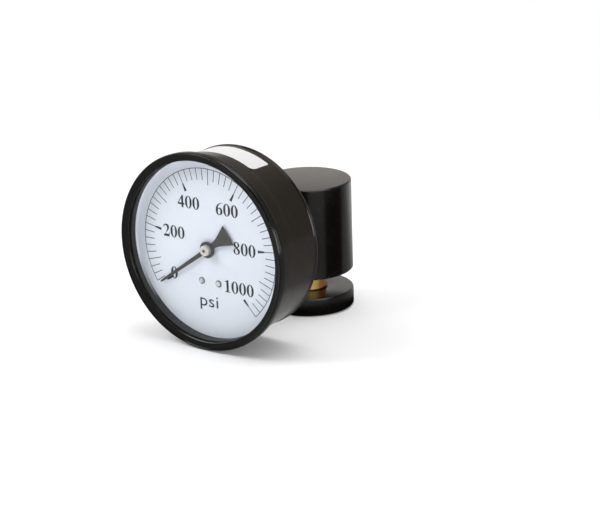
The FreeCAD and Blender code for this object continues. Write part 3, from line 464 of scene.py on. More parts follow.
# %% Finishes
FINISHES = {
    "black_anodised": anodised(),
    "case_black": case_paint(),
    "bezel_black": bezel_paint(),
    # The ram's finish carries painted shade on one side and where it enters the foot.
    "ram_brass": turned_metal("ram_brass", (1.0, 0.74, 0.24), (0.90, 0.52, 0.13), 0.52,
                              tarnish=0.35, bare=0.9, shade_overlay=ram_painted_shade),
    "stem_brass": turned_metal("stem_brass", (0.78, 0.57, 0.27), (0.48, 0.32, 0.14), 0.24),
    "movement_brass": turned_metal("movement_brass", (0.76, 0.55, 0.26), (0.55, 0.37, 0.16), 0.27),
    "tube_bronze": turned_metal("tube_bronze", (0.62, 0.40, 0.22), (0.36, 0.20, 0.10), 0.30),
    "gland_bronze": turned_metal("gland_bronze", (0.58, 0.38, 0.18), (0.34, 0.21, 0.10), 0.28),
    "spring_steel": turned_metal("spring_steel", (0.30, 0.30, 0.31), (0.12, 0.11, 0.10), 0.30),
    "screw_steel": turned_metal("screw_steel", (0.16, 0.16, 0.165), (0.07, 0.068, 0.065), 0.34),
    "hub_silver": turned_metal("hub_silver", (0.88, 0.85, 0.80), (0.62, 0.60, 0.56), 0.32,
                               marks_mm=0.15, bare=0.3),
    "dial_screw": turned_metal("dial_screw", (0.86, 0.87, 0.89), (0.62, 0.62, 0.64), 0.28,
                               marks_mm=0.15, bare=0.2),
    # Painted shade: a darker ring round each dial screw head, for the shadowed edge of the dimple
    # it sits in.
    "dial_washer": turned_metal("dial_washer", (0.24, 0.24, 0.25), (0.17, 0.17, 0.18), 0.34,
                                marks_mm=0.15, bare=0.2),
    "dial_white": dial_enamel(),
    "dial_ink": dial_ink(),
    "pointer_black": pointer_lacquer(),
    "wiper_rubber": plain_moulded("wiper_rubber", (0.012, 0.012, 0.012), (0.022, 0.021, 0.020),
                                  0.55, 0.6),
    "seal_rubber": plain_moulded("seal_rubber", (0.010, 0.010, 0.010), (0.018, 0.018, 0.018),
                                 0.40, 0.6),
    "gasket_grey": gasket_ring(),
    "backup_plastic": plain_moulded("backup_plastic", (0.72, 0.70, 0.64), (0.80, 0.78, 0.72),
                                    0.40, 1.2),
    "sticker_white": sticker_paper(),
    "lens_clear": window_glass(),
}
slots = {part["node"]: part["material_slot"] for part in frame["record"]["subparts"]}
for node_name, node in nodes.items():
    node.data.materials.clear()
    node.data.materials.append(FINISHES[slots[node_name]])
print(len(FINISHES), "finishes")

# %% [markdown]
# ## Turning on a virtual lathe
#
# Nearly every piece of this tester is turned, so one function does what a lathe does: it
# takes half of the piece's section and spins it. Real edges are never perfectly sharp, so
# each corner may be eased with a small arc, which is what catches a thin line of light.
# Holes and slots come afterwards, as boolean cuts with flat outlines made solid.

# %% Lathe
SHARP = math.radians(32)


def eased(corners, steps=5):
    """Round the corners of a closed (radius, height, easing) outline. Returns plain points."""
    points = []
    count = len(corners)
    for index, (radius, height, easing) in enumerate(corners):
        here = Vector((radius, height))
        before = Vector(corners[index - 1][:2]) - here
        after = Vector(corners[(index + 1) % count][:2]) - here
        reach = min(easing, before.length * 0.45, after.length * 0.45)
        if reach < 1e-4:
            points.append(here)
            continue
        start = here + before.normalized() * reach
        end = here + after.normalized() * reach
        for step in range(steps + 1):
            t = step / steps
            points.append(start * (1 - t) ** 2 + here * 2 * t * (1 - t) + end * t ** 2)
    return points


def show(name, mesh, place, finish, body):
    """Put a finished mesh into the scene on its body."""
    thing = add_object(name, mesh)
    thing.matrix_world = place
    if not mesh.materials:
        mesh.materials.append(FINISHES[finish])
    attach(thing, body)
    return thing


def smooth(mesh):
    mesh.shade_smooth()
    mesh.set_sharp_from_angle(angle=SHARP)


def to_mesh(name, build):
    """Turn every face of a bmesh outward and keep it as a mesh."""
    bmesh.ops.recalc_face_normals(build, faces=build.faces)
    mesh = bpy.data.meshes.new(name)
    build.to_mesh(mesh)
    build.free()
    return mesh


def turned_mesh(name, corners, segments=192):
    """Spin a closed outline, in millimetres, about the Z axis."""
    points = eased(corners)
    build = bmesh.new()
    rings = []
    for point in points:
        if point.x < 1e-6:
            rings.append([build.verts.new((0, 0, point.y * MM))])
            continue
        reach, height = point.x * MM, point.y * MM
        turns = [2 * math.pi * step / segments for step in range(segments)]
        rings.append([build.verts.new((reach * math.cos(turn), reach * math.sin(turn), height))
                      for turn in turns])
    for index, ring in enumerate(rings):
        following = rings[(index + 1) % len(rings)]
        if len(ring) == 1 and len(following) == 1:
            continue
        for step in range(segments):
            after = (step + 1) % segments
            if len(ring) == 1:
                build.faces.new((ring[0], following[after], following[step]))
            elif len(following) == 1:
                build.faces.new((ring[step], ring[after], following[0]))
            else:
                build.faces.new((ring[step], ring[after], following[after], following[step]))
    mesh = to_mesh(name, build)
    smooth(mesh)
    return mesh


print("lathe ready, corners eased in 5 steps")


# %% Saw and drill
def worked_out(thing):
    """The mesh that an object's modifiers or curve come to."""
    bpy.context.view_layer.update()
    graph = bpy.context.evaluated_depsgraph_get()
    return bpy.data.meshes.new_from_object(thing.evaluated_get(graph))


def cut_out(thing, cutter_meshes):
    """Cut meshes, given in the piece's own place, out of it for good."""
    for number, cutter_mesh in enumerate(cutter_meshes):
        cutter = add_object(f"cutter_{number}", cutter_mesh)
        cutter.matrix_world = thing.matrix_world
        cut = thing.modifiers.new("cut", "BOOLEAN")
        cut.object = cutter
        cut.operation = "DIFFERENCE"
        cut.solver = "EXACT"
        result = worked_out(thing)
        thing.modifiers.remove(cut)
        thing.data = result
        bpy.data.objects.remove(cutter)
    smooth(thing.data)
    return thing


def add_solid(build, outline, low, high):
    """A flat outline of (x, y) in millimetres, made solid from one height to another."""
    base = [build.verts.new((x * MM, y * MM, low * MM)) for x, y in outline]
    top = [build.verts.new((x * MM, y * MM, high * MM)) for x, y in outline]
    build.faces.new(base[::-1])
    build.faces.new(top)
    for index in range(len(outline)):
        after = (index + 1) % len(outline)
        build.faces.new((base[index], base[after], top[after], top[index]))


def prism_mesh(name, outline, low, high, place=UPRIGHT):
    build = bmesh.new()
    add_solid(build, outline, low, high)
    build.transform(place)
    return to_mesh(name, build)


def ring_outline(radius, centre=(0, 0), count=48):
    """Points on a circle."""
    turns = [2 * math.pi * step / count for step in range(count)]
    return [(centre[0] + radius * math.cos(turn), centre[1] + radius * math.sin(turn))
            for turn in turns]


print("booleans and prisms ready")

# %% [markdown]
# ## Cylinder, foot and ram
#
# The cylinder is one bar with a blind bore from below, closed by a gland and a retaining
# ring that show only from underneath. The pipe thread of the gauge enters its side through
# a plain hole, cut here with a boolean, the way a drill would.

# %% Cylinder
BORE = 14.325
MOUTH = body_base + 0.4
GROOVE_LOW = body_base + 1.5
GROOVE_HIGH = body_base + 2.75
GROOVE_DEPTH = 1.2
BORE_END = body_top - 10.5
CHAMFER = 0.6

cylinder = show("cylinder", turned_mesh("cylinder", [
    (BORE + 0.4, body_base, 0.1),
    (body_radius - CHAMFER, body_base, 0.15),
    (body_radius, body_base + CHAMFER, 0.15),
    (body_radius, body_top - CHAMFER, 0.2),
    (body_radius - CHAMFER, body_top, 0.2),
    (0, body_top, 0),
    (0, BORE_END, 0),
    (BORE, BORE_END, 0.2),
    (BORE, GROOVE_HIGH, 0),
    (BORE + GROOVE_DEPTH, GROOVE_HIGH, 0),
    (BORE + GROOVE_DEPTH, GROOVE_LOW, 0),
    (BORE, GROOVE_LOW, 0),
    (BORE, MOUTH, 0.05),
]), UPRIGHT, "black_anodised", FIXED)
PORT_RADIUS = 6.65
PORT_DEPTH = 6.5
port_way = Matrix.Translation((0, 0, GAUGE_HEIGHT * MM)) @ TO_FRONT
port_hole = prism_mesh("port_hole", ring_outline(PORT_RADIUS, count=64),
                       body_radius - PORT_DEPTH, body_radius + 2, port_way)
cut_out(cylinder, [port_hole])
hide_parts("cylinder_body")
print("cylinder", len(cylinder.data.vertices), "points")

# %% Foot
ROD = 8.35
SEAT = 6.8
STUD = 5.0
STUD_END = 2.3
COUNTERSINK = 1.2

foot = show("foot", turned_mesh("foot", [
    (0, 0, 0),
    (body_radius - CHAMFER, 0, 0.15),
    (body_radius, CHAMFER, 0.15),
    (body_radius, foot_top - CHAMFER, 0.2),
    (body_radius - CHAMFER, foot_top, 0.2),
    (ROD + COUNTERSINK, foot_top, 0.1),
    (ROD + 0.05, foot_top - COUNTERSINK + 0.05, 0.05),
    (ROD + 0.05, SEAT, 0),
    (STUD + 0.05, SEAT, 0),
    (STUD + 0.05, STUD_END - 0.1, 0),
    (0, STUD_END - 0.1, 0),
]), UPRIGHT, "black_anodised", RAM)
SCREW_HEIGHT = 4.4
SCREW_HOLE = 2.05
TO_BACK = Matrix.Rotation(math.radians(-90), 4, "X")
screw_way = Matrix.Translation((0, 0, SCREW_HEIGHT * MM)) @ TO_BACK
screw_hole = prism_mesh("screw_hole", ring_outline(SCREW_HOLE), STUD, body_radius + 1, screw_way)
cut_out(foot, [screw_hole])
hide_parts("foot_disc")
print("foot", round(foot_top, 2), "mm high")

# %% Ram
HEAD = BORE - 0.05
SEAL_DEPTH = 2.95
SEAL_PLAY = 0.03
head_base = 29.45
head_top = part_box("piston_rod")[1].z / MM
seal_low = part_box("backup_ring")[0].z / MM
seal_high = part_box("piston_seal")[1].z / MM
ram = show("ram_bar", turned_mesh("ram_bar", [
    (0, STUD_END, 0),
    (STUD - CHAMFER, STUD_END, 0.1),
    (STUD, STUD_END + CHAMFER, 0.1),
    (STUD, SEAT, 0),
    (ROD, SEAT, 0),
    (ROD, head_base, 0.1),
    (HEAD, head_base, 0.15),
    (HEAD, seal_low - SEAL_PLAY, 0.05),
    (HEAD - SEAL_DEPTH, seal_low - SEAL_PLAY, 0.1),
    (HEAD - SEAL_DEPTH, seal_high + SEAL_PLAY, 0.1),
    (HEAD, seal_high + SEAL_PLAY, 0.05),
    (HEAD, head_top - 0.8, 0.1),
    (HEAD - 0.8, head_top, 0.1),
    (0, head_top, 0),
], segments=128), UPRIGHT, "ram_brass", RAM)
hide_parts("piston_rod")
print("ram", round(head_top, 2), "mm high")

# %% [markdown]
# ## Gauge case and bezel
#
# The case is a drawn steel cup with a rolled rear rim and a shallow step round its middle.
# The bezel is a second ring crimped over it: its front bevels inward to the window and its
# edge is turned back over the case. Both are spun from their section on the lathe.

# %% Case
WALL = 1.0
STEP = 18.8
NECK_HOLE = 7.05
RIM_DROP, RIM_HIGH = 0.4, 1.6
BACK_OUTSIDE = 0.8
BACK_INSIDE = BACK_OUTSIDE + WALL
rear_radius = case_radius - 0.8
waist_radius = case_radius - 0.6
case_front = gauge_z("gauge_case", "front")
case = show("case", turned_mesh("case", [
    (NECK_HOLE, BACK_OUTSIDE, 0.1),
    (rear_radius - 2.4, BACK_OUTSIDE, 0.6),
    (rear_radius - 1.4, 0, 0.3),
    (rear_radius - 0.2, 0, 0.2),
    (rear_radius, 0.4, 0.2),
    (rear_radius, 1.2, 0.2),
    (rear_radius - RIM_DROP, RIM_HIGH, 0.2),
    (waist_radius, STEP, 0.3),
    (waist_radius - 0.2, STEP + 0.25, 0.1),
    (case_radius, STEP + 0.5, 0.2),
    (case_radius, case_front, 0.2),
    (case_radius - WALL, case_front, 0.1),
    (case_radius - WALL, STEP + 1.0, 0.2),
    (waist_radius - WALL, STEP, 0.2),
    (rear_radius - 1.4, 2.6, 0.6),
    (rear_radius - 2.4, BACK_INSIDE, 0.4),
    (NECK_HOLE, BACK_INSIDE, 0.1),
], segments=256), GAUGE, "case_black", FIXED)
CASE_SCREW = 10.8
CASE_HOLE = 1.35
screw_holes = [prism_mesh("case_hole", ring_outline(CASE_HOLE, (0, CASE_SCREW * side), 32), 0, 3)
               for side in (1, -1)]
cut_out(case, screw_holes)
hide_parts("gauge_case")
print("case", len(case.data.vertices), "points, radius", round(case_radius, 2))

# %% Bezel
WINDOW_INSET = 1.65
LIP_DROP = 0.8
lens_seat = case_radius - WALL - 0.05
window_radius = case_radius - WINDOW_INSET
skirt = case_radius + 0.05
bezel = show("bezel", turned_mesh("bezel", [
    (skirt, bezel_rear, 0.1),
    (bezel_radius - 0.35, bezel_rear, 0.2),
    (bezel_radius - 0.1, bezel_rear + 0.35, 0.2),
    (bezel_radius - 0.1, bezel_front - 2.0, 0.2),
    (bezel_radius - 0.3, bezel_front - 1.75, 0.15),
    (bezel_radius - 0.05, bezel_front - 1.4, 0.15),
    (bezel_radius, bezel_front - 0.9, 0.3),
    (bezel_radius - 0.45, bezel_front - 0.06, 0.3),
    (bezel_radius - 0.95, bezel_front, 0.3),
    (bezel_radius - 1.35, bezel_front - 0.3, 0.2),
    (window_radius + 0.35, bezel_front - LIP_DROP + 0.05, 0.3),
    (window_radius, bezel_front - LIP_DROP - 0.25, 0.2),
    (window_radius, lens_front, 0.03),
    (lens_seat, lens_front, 0.03),
    (lens_seat, case_front + 0.05, 0.03),
    (skirt, case_front + 0.05, 0.03),
], segments=256), GAUGE, "bezel_black", FIXED)
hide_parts("bezel_ring")
print("bezel from", round(bezel_rear, 2), "to", round(bezel_front, 2), "mm")

# %% [markdown]
# ## Dial print
#
# A dial is printed in one dense black. The scale runs clockwise from lower left to lower
# right, with a stroke every 20 pounds, longer strokes at the odd hundreds and a bold wedge
# at the even ones. The lowest part is squeezed, so the rest mark sits just past 40. Each
# mark is a thin raised shape, so it stays sharp from any distance.

# %% Scale
PRINT_BASE = dial_face + 0.01
PRINT_TOP = dial_face + 0.05
ARC = 39.0
MID_ANGLE = 1.9
STEP_ANGLE = 0.27125
REST_ANGLE = -126.5
FIRST_STROKE = 40
LAST = 1000


def dial_angle(pounds):
    """Clockwise from straight up, in degrees."""
    return REST_ANGLE if pounds == 0 else MID_ANGLE + STEP_ANGLE * (pounds - 500)


def dial_point(radius, angle, across=0.0):
    """A point on the dial, with a step to the side of its ray."""
    turn = math.radians(angle)
    outward = Vector((math.sin(turn), math.cos(turn)))
    side = Vector((math.cos(turn), -math.sin(turn)))
    return outward * radius + side * across


def add_stroke(build, angle, inner, outer, inner_width, outer_width):
    """A printed stroke along a ray, straight or tapered."""
    corners = [(outer, -outer_width / 2), (outer, outer_width / 2),
               (inner, inner_width / 2), (inner, -inner_width / 2)]
    outline = [dial_point(radius, angle, across) for radius, across in corners]
    add_solid(build, outline, PRINT_BASE, PRINT_TOP)


scale = bmesh.new()
STROKE = 0.34
POUNDS_STEP = 20
PLAIN_INNER, ODD_INNER, EVEN_INNER = 33.3, 31.1, 32.4
WEDGE = {"inner": 29.2, "outer": 33.0, "inner_width": 1.35, "outer_width": 0.7}
for pounds in range(FIRST_STROKE, LAST + 1, POUNDS_STEP):
    inner = PLAIN_INNER
    if pounds % 200 == 0:
        inner = EVEN_INNER
    elif pounds % 100 == 0:
        inner = ODD_INNER
    add_stroke(scale, dial_angle(pounds), inner, ARC, STROKE, STROKE)
for pounds in range(0, LAST + 1, 200):
    add_stroke(scale, dial_angle(pounds), **WEDGE)
print("scale strokes", (LAST - FIRST_STROKE) // POUNDS_STEP + 1)

# %% Arc of the scale
ARC_STEPS = 180
ARC_OUTER, ARC_INNER = ARC + 0.12, ARC - 0.18
ARC_PAST = 0.2
arc_start = dial_angle(FIRST_STROKE) - ARC_PAST
arc_end = dial_angle(LAST) + ARC_PAST
arc_angles = [arc_start + (arc_end - arc_start) * step / ARC_STEPS for step in range(ARC_STEPS + 1)]
for angle, following in zip(arc_angles, arc_angles[1:]):
    outline = [dial_point(ARC_OUTER, angle), dial_point(ARC_OUTER, following),
               dial_point(ARC_INNER, following), dial_point(ARC_INNER, angle)]
    add_solid(scale, outline, PRINT_BASE, PRINT_TOP)
show("dial_scale", to_mesh("dial_scale", scale), GAUGE, "dial_ink", FIXED)
print("scale arc from", round(arc_start, 1), "to", round(arc_end, 1), "degrees")

# %% [markdown]
# ## Numerals
#
# The figures are bold with thick sides and thin tops, like old book type. Each is drawn as
# smooth loops on a field one unit high: a plain pair is a point of a curve and a pair with
# a third value is a sharp corner. Blender fills the loops of a flat curve and leaves its
# inner loops open.

# %% Figures
FIGURES = {
    "0": [
        [(0.33, 1.0), (0.56, 0.86), (0.66, 0.5), (0.56, 0.14), (0.33, 0.0), (0.10, 0.14),
         (0.0, 0.5), (0.10, 0.86)],
        [(0.33, 0.95), (0.42, 0.83), (0.455, 0.5), (0.42, 0.17), (0.33, 0.05), (0.24, 0.17),
         (0.205, 0.5), (0.24, 0.83)],
    ],
    "1": [
        [(0.12, 0, 1), (0.12, 0.045, 1), (0.25, 0.08, 1), (0.25, 0.80, 1), (0.20, 0.85, 1),
         (0.11, 0.81, 1), (0.09, 0.855, 1), (0.40, 1.0, 1), (0.45, 1.0, 1), (0.45, 0.08, 1),
         (0.58, 0.045, 1), (0.58, 0, 1)],
    ],
    "2": [
        [(0.03, 0.72), (0.12, 0.92), (0.33, 1.0), (0.54, 0.92), (0.60, 0.74), (0.53, 0.56),
         (0.36, 0.37), (0.17, 0.20, 1), (0.46, 0.20), (0.56, 0.22), (0.60, 0.33, 1),
         (0.645, 0.33, 1), (0.60, 0, 1), (0.02, 0, 1), (0.02, 0.045, 1), (0.22, 0.27),
         (0.36, 0.49), (0.40, 0.69), (0.34, 0.84), (0.23, 0.87), (0.13, 0.82), (0.08, 0.715, 1)],
    ],
    "4": [
        [(0.37, 0, 1), (0.37, 0.22, 1), (0.01, 0.22, 1), (0.01, 0.33, 1), (0.46, 1.0, 1),
         (0.56, 1.0, 1), (0.56, 0.36, 1), (0.66, 0.36, 1), (0.66, 0.22, 1), (0.56, 0.22, 1),
         (0.56, 0, 1)],
        [(0.37, 0.36, 1), (0.37, 0.75, 1), (0.11, 0.36, 1)],
    ],
    "6": [
        [(0.60, 1.0, 1), (0.33, 0.92), (0.10, 0.70), (0.01, 0.38), (0.09, 0.10), (0.33, 0.0),
         (0.57, 0.10), (0.65, 0.32), (0.57, 0.53), (0.40, 0.60), (0.24, 0.56), (0.30, 0.76),
         (0.42, 0.88), (0.60, 0.955, 1)],
        [(0.32, 0.51), (0.42, 0.45), (0.445, 0.28), (0.41, 0.11), (0.33, 0.05), (0.24, 0.12),
         (0.21, 0.32), (0.24, 0.46)],
    ],
    "8": [
        [(0.33, 1.0), (0.53, 0.93), (0.60, 0.77), (0.55, 0.63), (0.44, 0.545), (0.58, 0.43),
         (0.645, 0.26), (0.56, 0.08), (0.33, 0.0), (0.10, 0.07), (0.02, 0.24), (0.08, 0.40),
         (0.22, 0.50), (0.10, 0.61), (0.05, 0.76), (0.13, 0.93)],
        [(0.33, 0.95), (0.415, 0.89), (0.44, 0.77), (0.38, 0.61), (0.26, 0.70), (0.22, 0.82),
         (0.25, 0.91)],
        [(0.27, 0.45), (0.40, 0.35), (0.455, 0.22), (0.42, 0.09), (0.32, 0.05), (0.21, 0.10),
         (0.18, 0.24), (0.20, 0.36)],
    ],
}


def curve_mesh(name, loops):
    """Fill flat closed loops of (x, y, corner) in millimetres."""
    curve = bpy.data.curves.new(name, "CURVE")
    curve.dimensions = "2D"
    curve.fill_mode = "BOTH"
    curve.resolution_u = 6
    curve.extrude = (PRINT_TOP - PRINT_BASE) / 2 * MM
    for loop in loops:
        spline = curve.splines.new("BEZIER")
        spline.bezier_points.add(len(loop) - 1)
        spline.use_cyclic_u = True
        for point, (x, y, corner) in zip(spline.bezier_points, loop):
            point.co = (x * MM, y * MM, 0)
            point.handle_left_type = point.handle_right_type = "VECTOR" if corner else "AUTO"
    holder = add_object(name, curve)
    mesh = worked_out(holder)
    mesh.name = name
    bpy.data.objects.remove(holder)
    return mesh


FIGURE_HEIGHT = 6.1
FIGURE_STEP = 4.5
FIGURE_WIDTH = 0.66 * FIGURE_HEIGHT
NUMBERS = [("0", -21.9, -15.3), ("200", -21.0, 5.35), ("400", -11.2, 21.2),
           ("600", 11.65, 20.75), ("800", 21.1, 3.1), ("1000", 16.9, -16.5)]
number_place = GAUGE @ Matrix.Translation((0, 0, (PRINT_BASE + PRINT_TOP) / 2 * MM))
for text, middle_x, middle_y in NUMBERS:
    start = middle_x - (FIGURE_STEP * (len(text) - 1) + FIGURE_WIDTH) / 2
    loops = []
    for index, figure in enumerate(text):
        left = start + index * FIGURE_STEP
        for loop in FIGURES[figure]:
            loops.append([(left + point[0] * FIGURE_HEIGHT,
                           middle_y + (point[1] - 0.5) * FIGURE_HEIGHT,
                           len(point) == 3) for point in loop])
    name = f"number_{text}"
    show(name, curve_mesh(name, loops), number_place, "dial_ink", FIXED)
print("numbers", [text for text, _, _ in NUMBERS])

# %% [markdown]
# ## The unit
#
# The unit under the pointer is in a plain light face, so Blender's own text object draws
# it. Its mesh is then stretched to the height and width that the letters have on the dial.

# %% Unit
UNIT_SPACING = 1.06
UNIT_LEFT, UNIT_RIGHT, UNIT_BOTTOM, UNIT_TOP = -6.65, 4.15, -30.8, -23.3

unit_text = bpy.data.curves.new("unit", "FONT")
unit_text.body = "psi"
unit_text.space_character = UNIT_SPACING
unit_text.extrude = (PRINT_TOP - PRINT_BASE) / 2 * MM
unit_text.size = 5.6 * MM
unit_holder = add_object("unit", unit_text)
unit_mesh = worked_out(unit_holder)
bpy.data.objects.remove(unit_holder)
low = Vector([min(v.co[axis] for v in unit_mesh.vertices) for axis in range(2)])
high = Vector([max(v.co[axis] for v in unit_mesh.vertices) for axis in range(2)])
for vertex in unit_mesh.vertices:
    across = (vertex.co.x - low.x) / (high.x - low.x)
    up = (vertex.co.y - low.y) / (high.y - low.y)
    vertex.co.x = (UNIT_LEFT + across * (UNIT_RIGHT - UNIT_LEFT)) * MM
    vertex.co.y = (UNIT_BOTTOM + up * (UNIT_TOP - UNIT_BOTTOM)) * MM
unit_mesh.materials.clear()
show("unit_psi", unit_mesh, number_place, "dial_ink", FIXED)
print("unit", round(UNIT_RIGHT - UNIT_LEFT, 1), "mm wide")

# %% [markdown]
# ## Pointer
#
# The pointer is stamped from thin sheet: a long taper, a ring round the hub and a spade
# tail that balances it. Its edges are slightly rolled by the press, so the blade gets a
# small bevel. The hub is a turned boss pressed into it.

# %% Pointer
POINTER_REST = math.radians(215.0)
pointer_turn = Matrix.Rotation(POINTER_REST, 4, "Z")
TIP = 36.3
TAIL = 15.6
BLADE_THICK = 0.5
ROLLED_EDGE = 0.10
blade_side = [(TIP, 0.26), (TIP - 1.2, 0.50), (30.0, 0.66), (20.0, 0.82), (2.6, 1.08),
              (0, 2.4), (-3.0, 1.6), (-4.2, 1.35), (-6.0, 1.6), (-8.0, 2.1), (-10.0, 2.8),
              (-12.0, 3.65), (-14.0, 4.5), (-TAIL, 5.2)]
blade_outline = blade_side + [(x, -y) for x, y in reversed(blade_side)]
blade_mesh = prism_mesh("pointer_blade", blade_outline, pointer_base,
                        pointer_base + BLADE_THICK, pointer_turn)
blade = show("pointer_blade", blade_mesh, GAUGE, "pointer_black", POINTER_TRAIN)
bevel = blade.modifiers.new("edge", "BEVEL")
bevel.width = ROLLED_EDGE * MM
bevel.segments = 2
bevel.limit_method = "ANGLE"
print("pointer", TIP + TAIL, "mm long")

# %% Hub
hub_front = gauge_z("pointer_hub", "front")
hub_rear = gauge_z("pointer_hub", "rear")
hub_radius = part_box("pointer_hub")[1].x / MM
BOSS_RADIUS = 4.0
BOSS_HEIGHT = 0.9
ARBOR_HOLE = 0.8
show("pointer_boss", turned_mesh("pointer_boss", [
    (hub_radius + 0.02, pointer_base, 0),
    (BOSS_RADIUS, pointer_base, 0.1),
    (BOSS_RADIUS, pointer_base + BOSS_HEIGHT, 0.15),
    (hub_radius + 0.02, pointer_base + BOSS_HEIGHT, 0.1),
], segments=64), GAUGE, "pointer_black", POINTER_TRAIN)
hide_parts("pointer")
hub = show("pointer_hub_turned", turned_mesh("pointer_hub_turned", [
    (ARBOR_HOLE, hub_rear, 0),
    (hub_radius / 2, hub_rear, 0),
    (hub_radius / 2, pointer_base, 0),
    (hub_radius, pointer_base, 0),
    (hub_radius, hub_front - 0.5, 0.1),
    (hub_radius - 0.35, hub_front, 0.15),
    (1.0, hub_front, 0.05),
    (ARBOR_HOLE, hub_front - 0.25, 0.05),
], segments=96), GAUGE, "hub_silver", POINTER_TRAIN)
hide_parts("pointer_hub")
# Painted shade: a black cap inside the arbor hole stands for the shade inside the hole.
show("hub_dot", turned_mesh("hub_dot", [
    (0, hub_front - 0.2, 0),
    (ARBOR_HOLE - 0.02, hub_front - 0.2, 0),
    (ARBOR_HOLE - 0.02, hub_front - 0.12, 0.05),
    (0, hub_front - 0.02, 0),
], segments=48), GAUGE, "pointer_black", POINTER_TRAIN)
print("hub", round(hub_radius, 2), "mm in radius")

# %% [markdown]
# ## Dial screws
#
# Two small slotted screws hold the dial. Each is a bright head in a darker ring, painted shade
# for the shadowed edge of its dimple, both made on the lathe, and its slot is a boolean cut at
# a slant, as no two screws stop alike.

# %% Dial screws
SCREW_ACROSS = 10.0
SCREW_DROP = 16.3
SLANT = 35
HEAD_RADIUS, SHADE_RING_RADIUS = 1.15, 1.7
SLOT_HALF, SLOT_LONG = 0.22, 2
screw_base = dial_face + 0.02
shade_ring_top = dial_face + 0.3
slot_floor = dial_face + 0.35
head_face = dial_face + 0.8
screw_head = [
    (0, screw_base, 0),
    (HEAD_RADIUS, screw_base, 0.05),
    (HEAD_RADIUS, head_face - 0.2, 0.2),
    (HEAD_RADIUS - 0.25, head_face, 0.2),
    (0, head_face, 0),
]
# Painted shade: this dark ring round the head stands for the shade at the edge of its dimple.
shade_ring = [
    (HEAD_RADIUS + 0.02, screw_base, 0),
    (SHADE_RING_RADIUS, screw_base, 0),
    (SHADE_RING_RADIUS, shade_ring_top, 0.1),
    (HEAD_RADIUS + 0.02, shade_ring_top, 0),
]
slot_outline = [(-SLOT_LONG, -SLOT_HALF), (SLOT_LONG, -SLOT_HALF),
                (SLOT_LONG, SLOT_HALF), (-SLOT_LONG, SLOT_HALF)]
for side, label in ((-1, "left"), (1, "right")):
    spot = GAUGE @ Matrix.Translation((SCREW_ACROSS / 2 * side * MM, -SCREW_DROP * MM, 0))
    head_mesh = turned_mesh(f"dial_screw_{label}", screw_head, segments=64)
    head = show(f"dial_screw_{label}", head_mesh, spot, "dial_screw", FIXED)
    slant = Matrix.Rotation(math.radians(SLANT * side), 4, "Z")
    cut_out(head, [prism_mesh("slot", slot_outline, slot_floor, head_face + 0.4, slant)])
    # Painted shade: the dark ring round the head.
    shade_ring_mesh = turned_mesh(f"dial_washer_{label}", shade_ring, segments=64)
    show(f"dial_washer_{label}", shade_ring_mesh, spot, "dial_washer", FIXED)
    if side < 0:
        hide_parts("dial_screws")
print("dial screws made")

# %% [markdown]
# ## Stem thread
#
# Between the cylinder and the wrench flats the stem carries its pipe thread. A thread is
# one ridge wound along a rod, so it is built as a strip of small sections, each a little
# further along and a little further round.

# %% Stem thread
THREAD_PITCH = 1.411
THREAD_ROOT = 6.45
THREAD_CREST = 6.95
RIDGE_HALF, CREST_HALF = 0.62, 0.08
PER_TURN = 64
FADE_STEPS = 40
thread_low = -(GAUGE_REACH - body_radius) + 0.5
thread_high = -14.4
thread = bmesh.new()
total = int((thread_high - thread_low) / THREAD_PITCH * PER_TURN)
section = [(THREAD_ROOT, -RIDGE_HALF), (THREAD_CREST, -CREST_HALF),
           (THREAD_CREST, CREST_HALF), (THREAD_ROOT, RIDGE_HALF)]
previous = None
for step in range(total + 1):
    turn = 2 * math.pi * step / PER_TURN
    along = thread_low + THREAD_PITCH * step / PER_TURN
    fade = min(1.0, step / FADE_STEPS, (total - step) / FADE_STEPS)
    row = []
    for radius, offset in section:
        reach = THREAD_ROOT + (radius - THREAD_ROOT) * fade
        spot = (reach * math.cos(turn) * MM, reach * math.sin(turn) * MM, (along + offset) * MM)
        row.append(thread.verts.new(spot))
    if previous:
        for index in range(len(row)):
            after = (index + 1) % len(row)
            thread.faces.new((previous[index], row[index], row[after], previous[after]))
    else:
        thread.faces.new(row)
    previous = row
thread.faces.new(previous[::-1])
thread_mesh = to_mesh("stem_thread", thread)
smooth(thread_mesh)
show("stem_thread", thread_mesh, GAUGE, "stem_brass", FIXED)
print("thread turns", round(total / PER_TURN, 1))

# %% [markdown]
# ## Sticker
#
# A bare white sticker is stuck round the top of the case, near its rear rim. It is a thin
# sheet that follows the case, with rounded corners and one corner that has begun to lift.

# %% Sticker
STICKER_START, STICKER_END = -14.0, 28.5
STICKER_LOW, STICKER_HIGH = 4.8, 17.6
sticker = bmesh.new()
ACROSS, ALONG = 14, 120
CORNER = 0.5


def sticker_limits(angle):
    """How far in the corners cut at this angle, in millimetres."""
    arc = math.radians(min(angle - STICKER_START, STICKER_END - angle)) * rear_radius
    return 0.0 if arc >= CORNER else CORNER - math.sqrt(max(CORNER ** 2 - (CORNER - arc) ** 2, 0.0))


def case_surface(height):
    """Radius of the case's side at a height between the rear rim and the step."""
    share = (height - RIM_HIGH) / (STEP - RIM_HIGH)
    return rear_radius - RIM_DROP + (waist_radius - rear_radius + RIM_DROP) * share


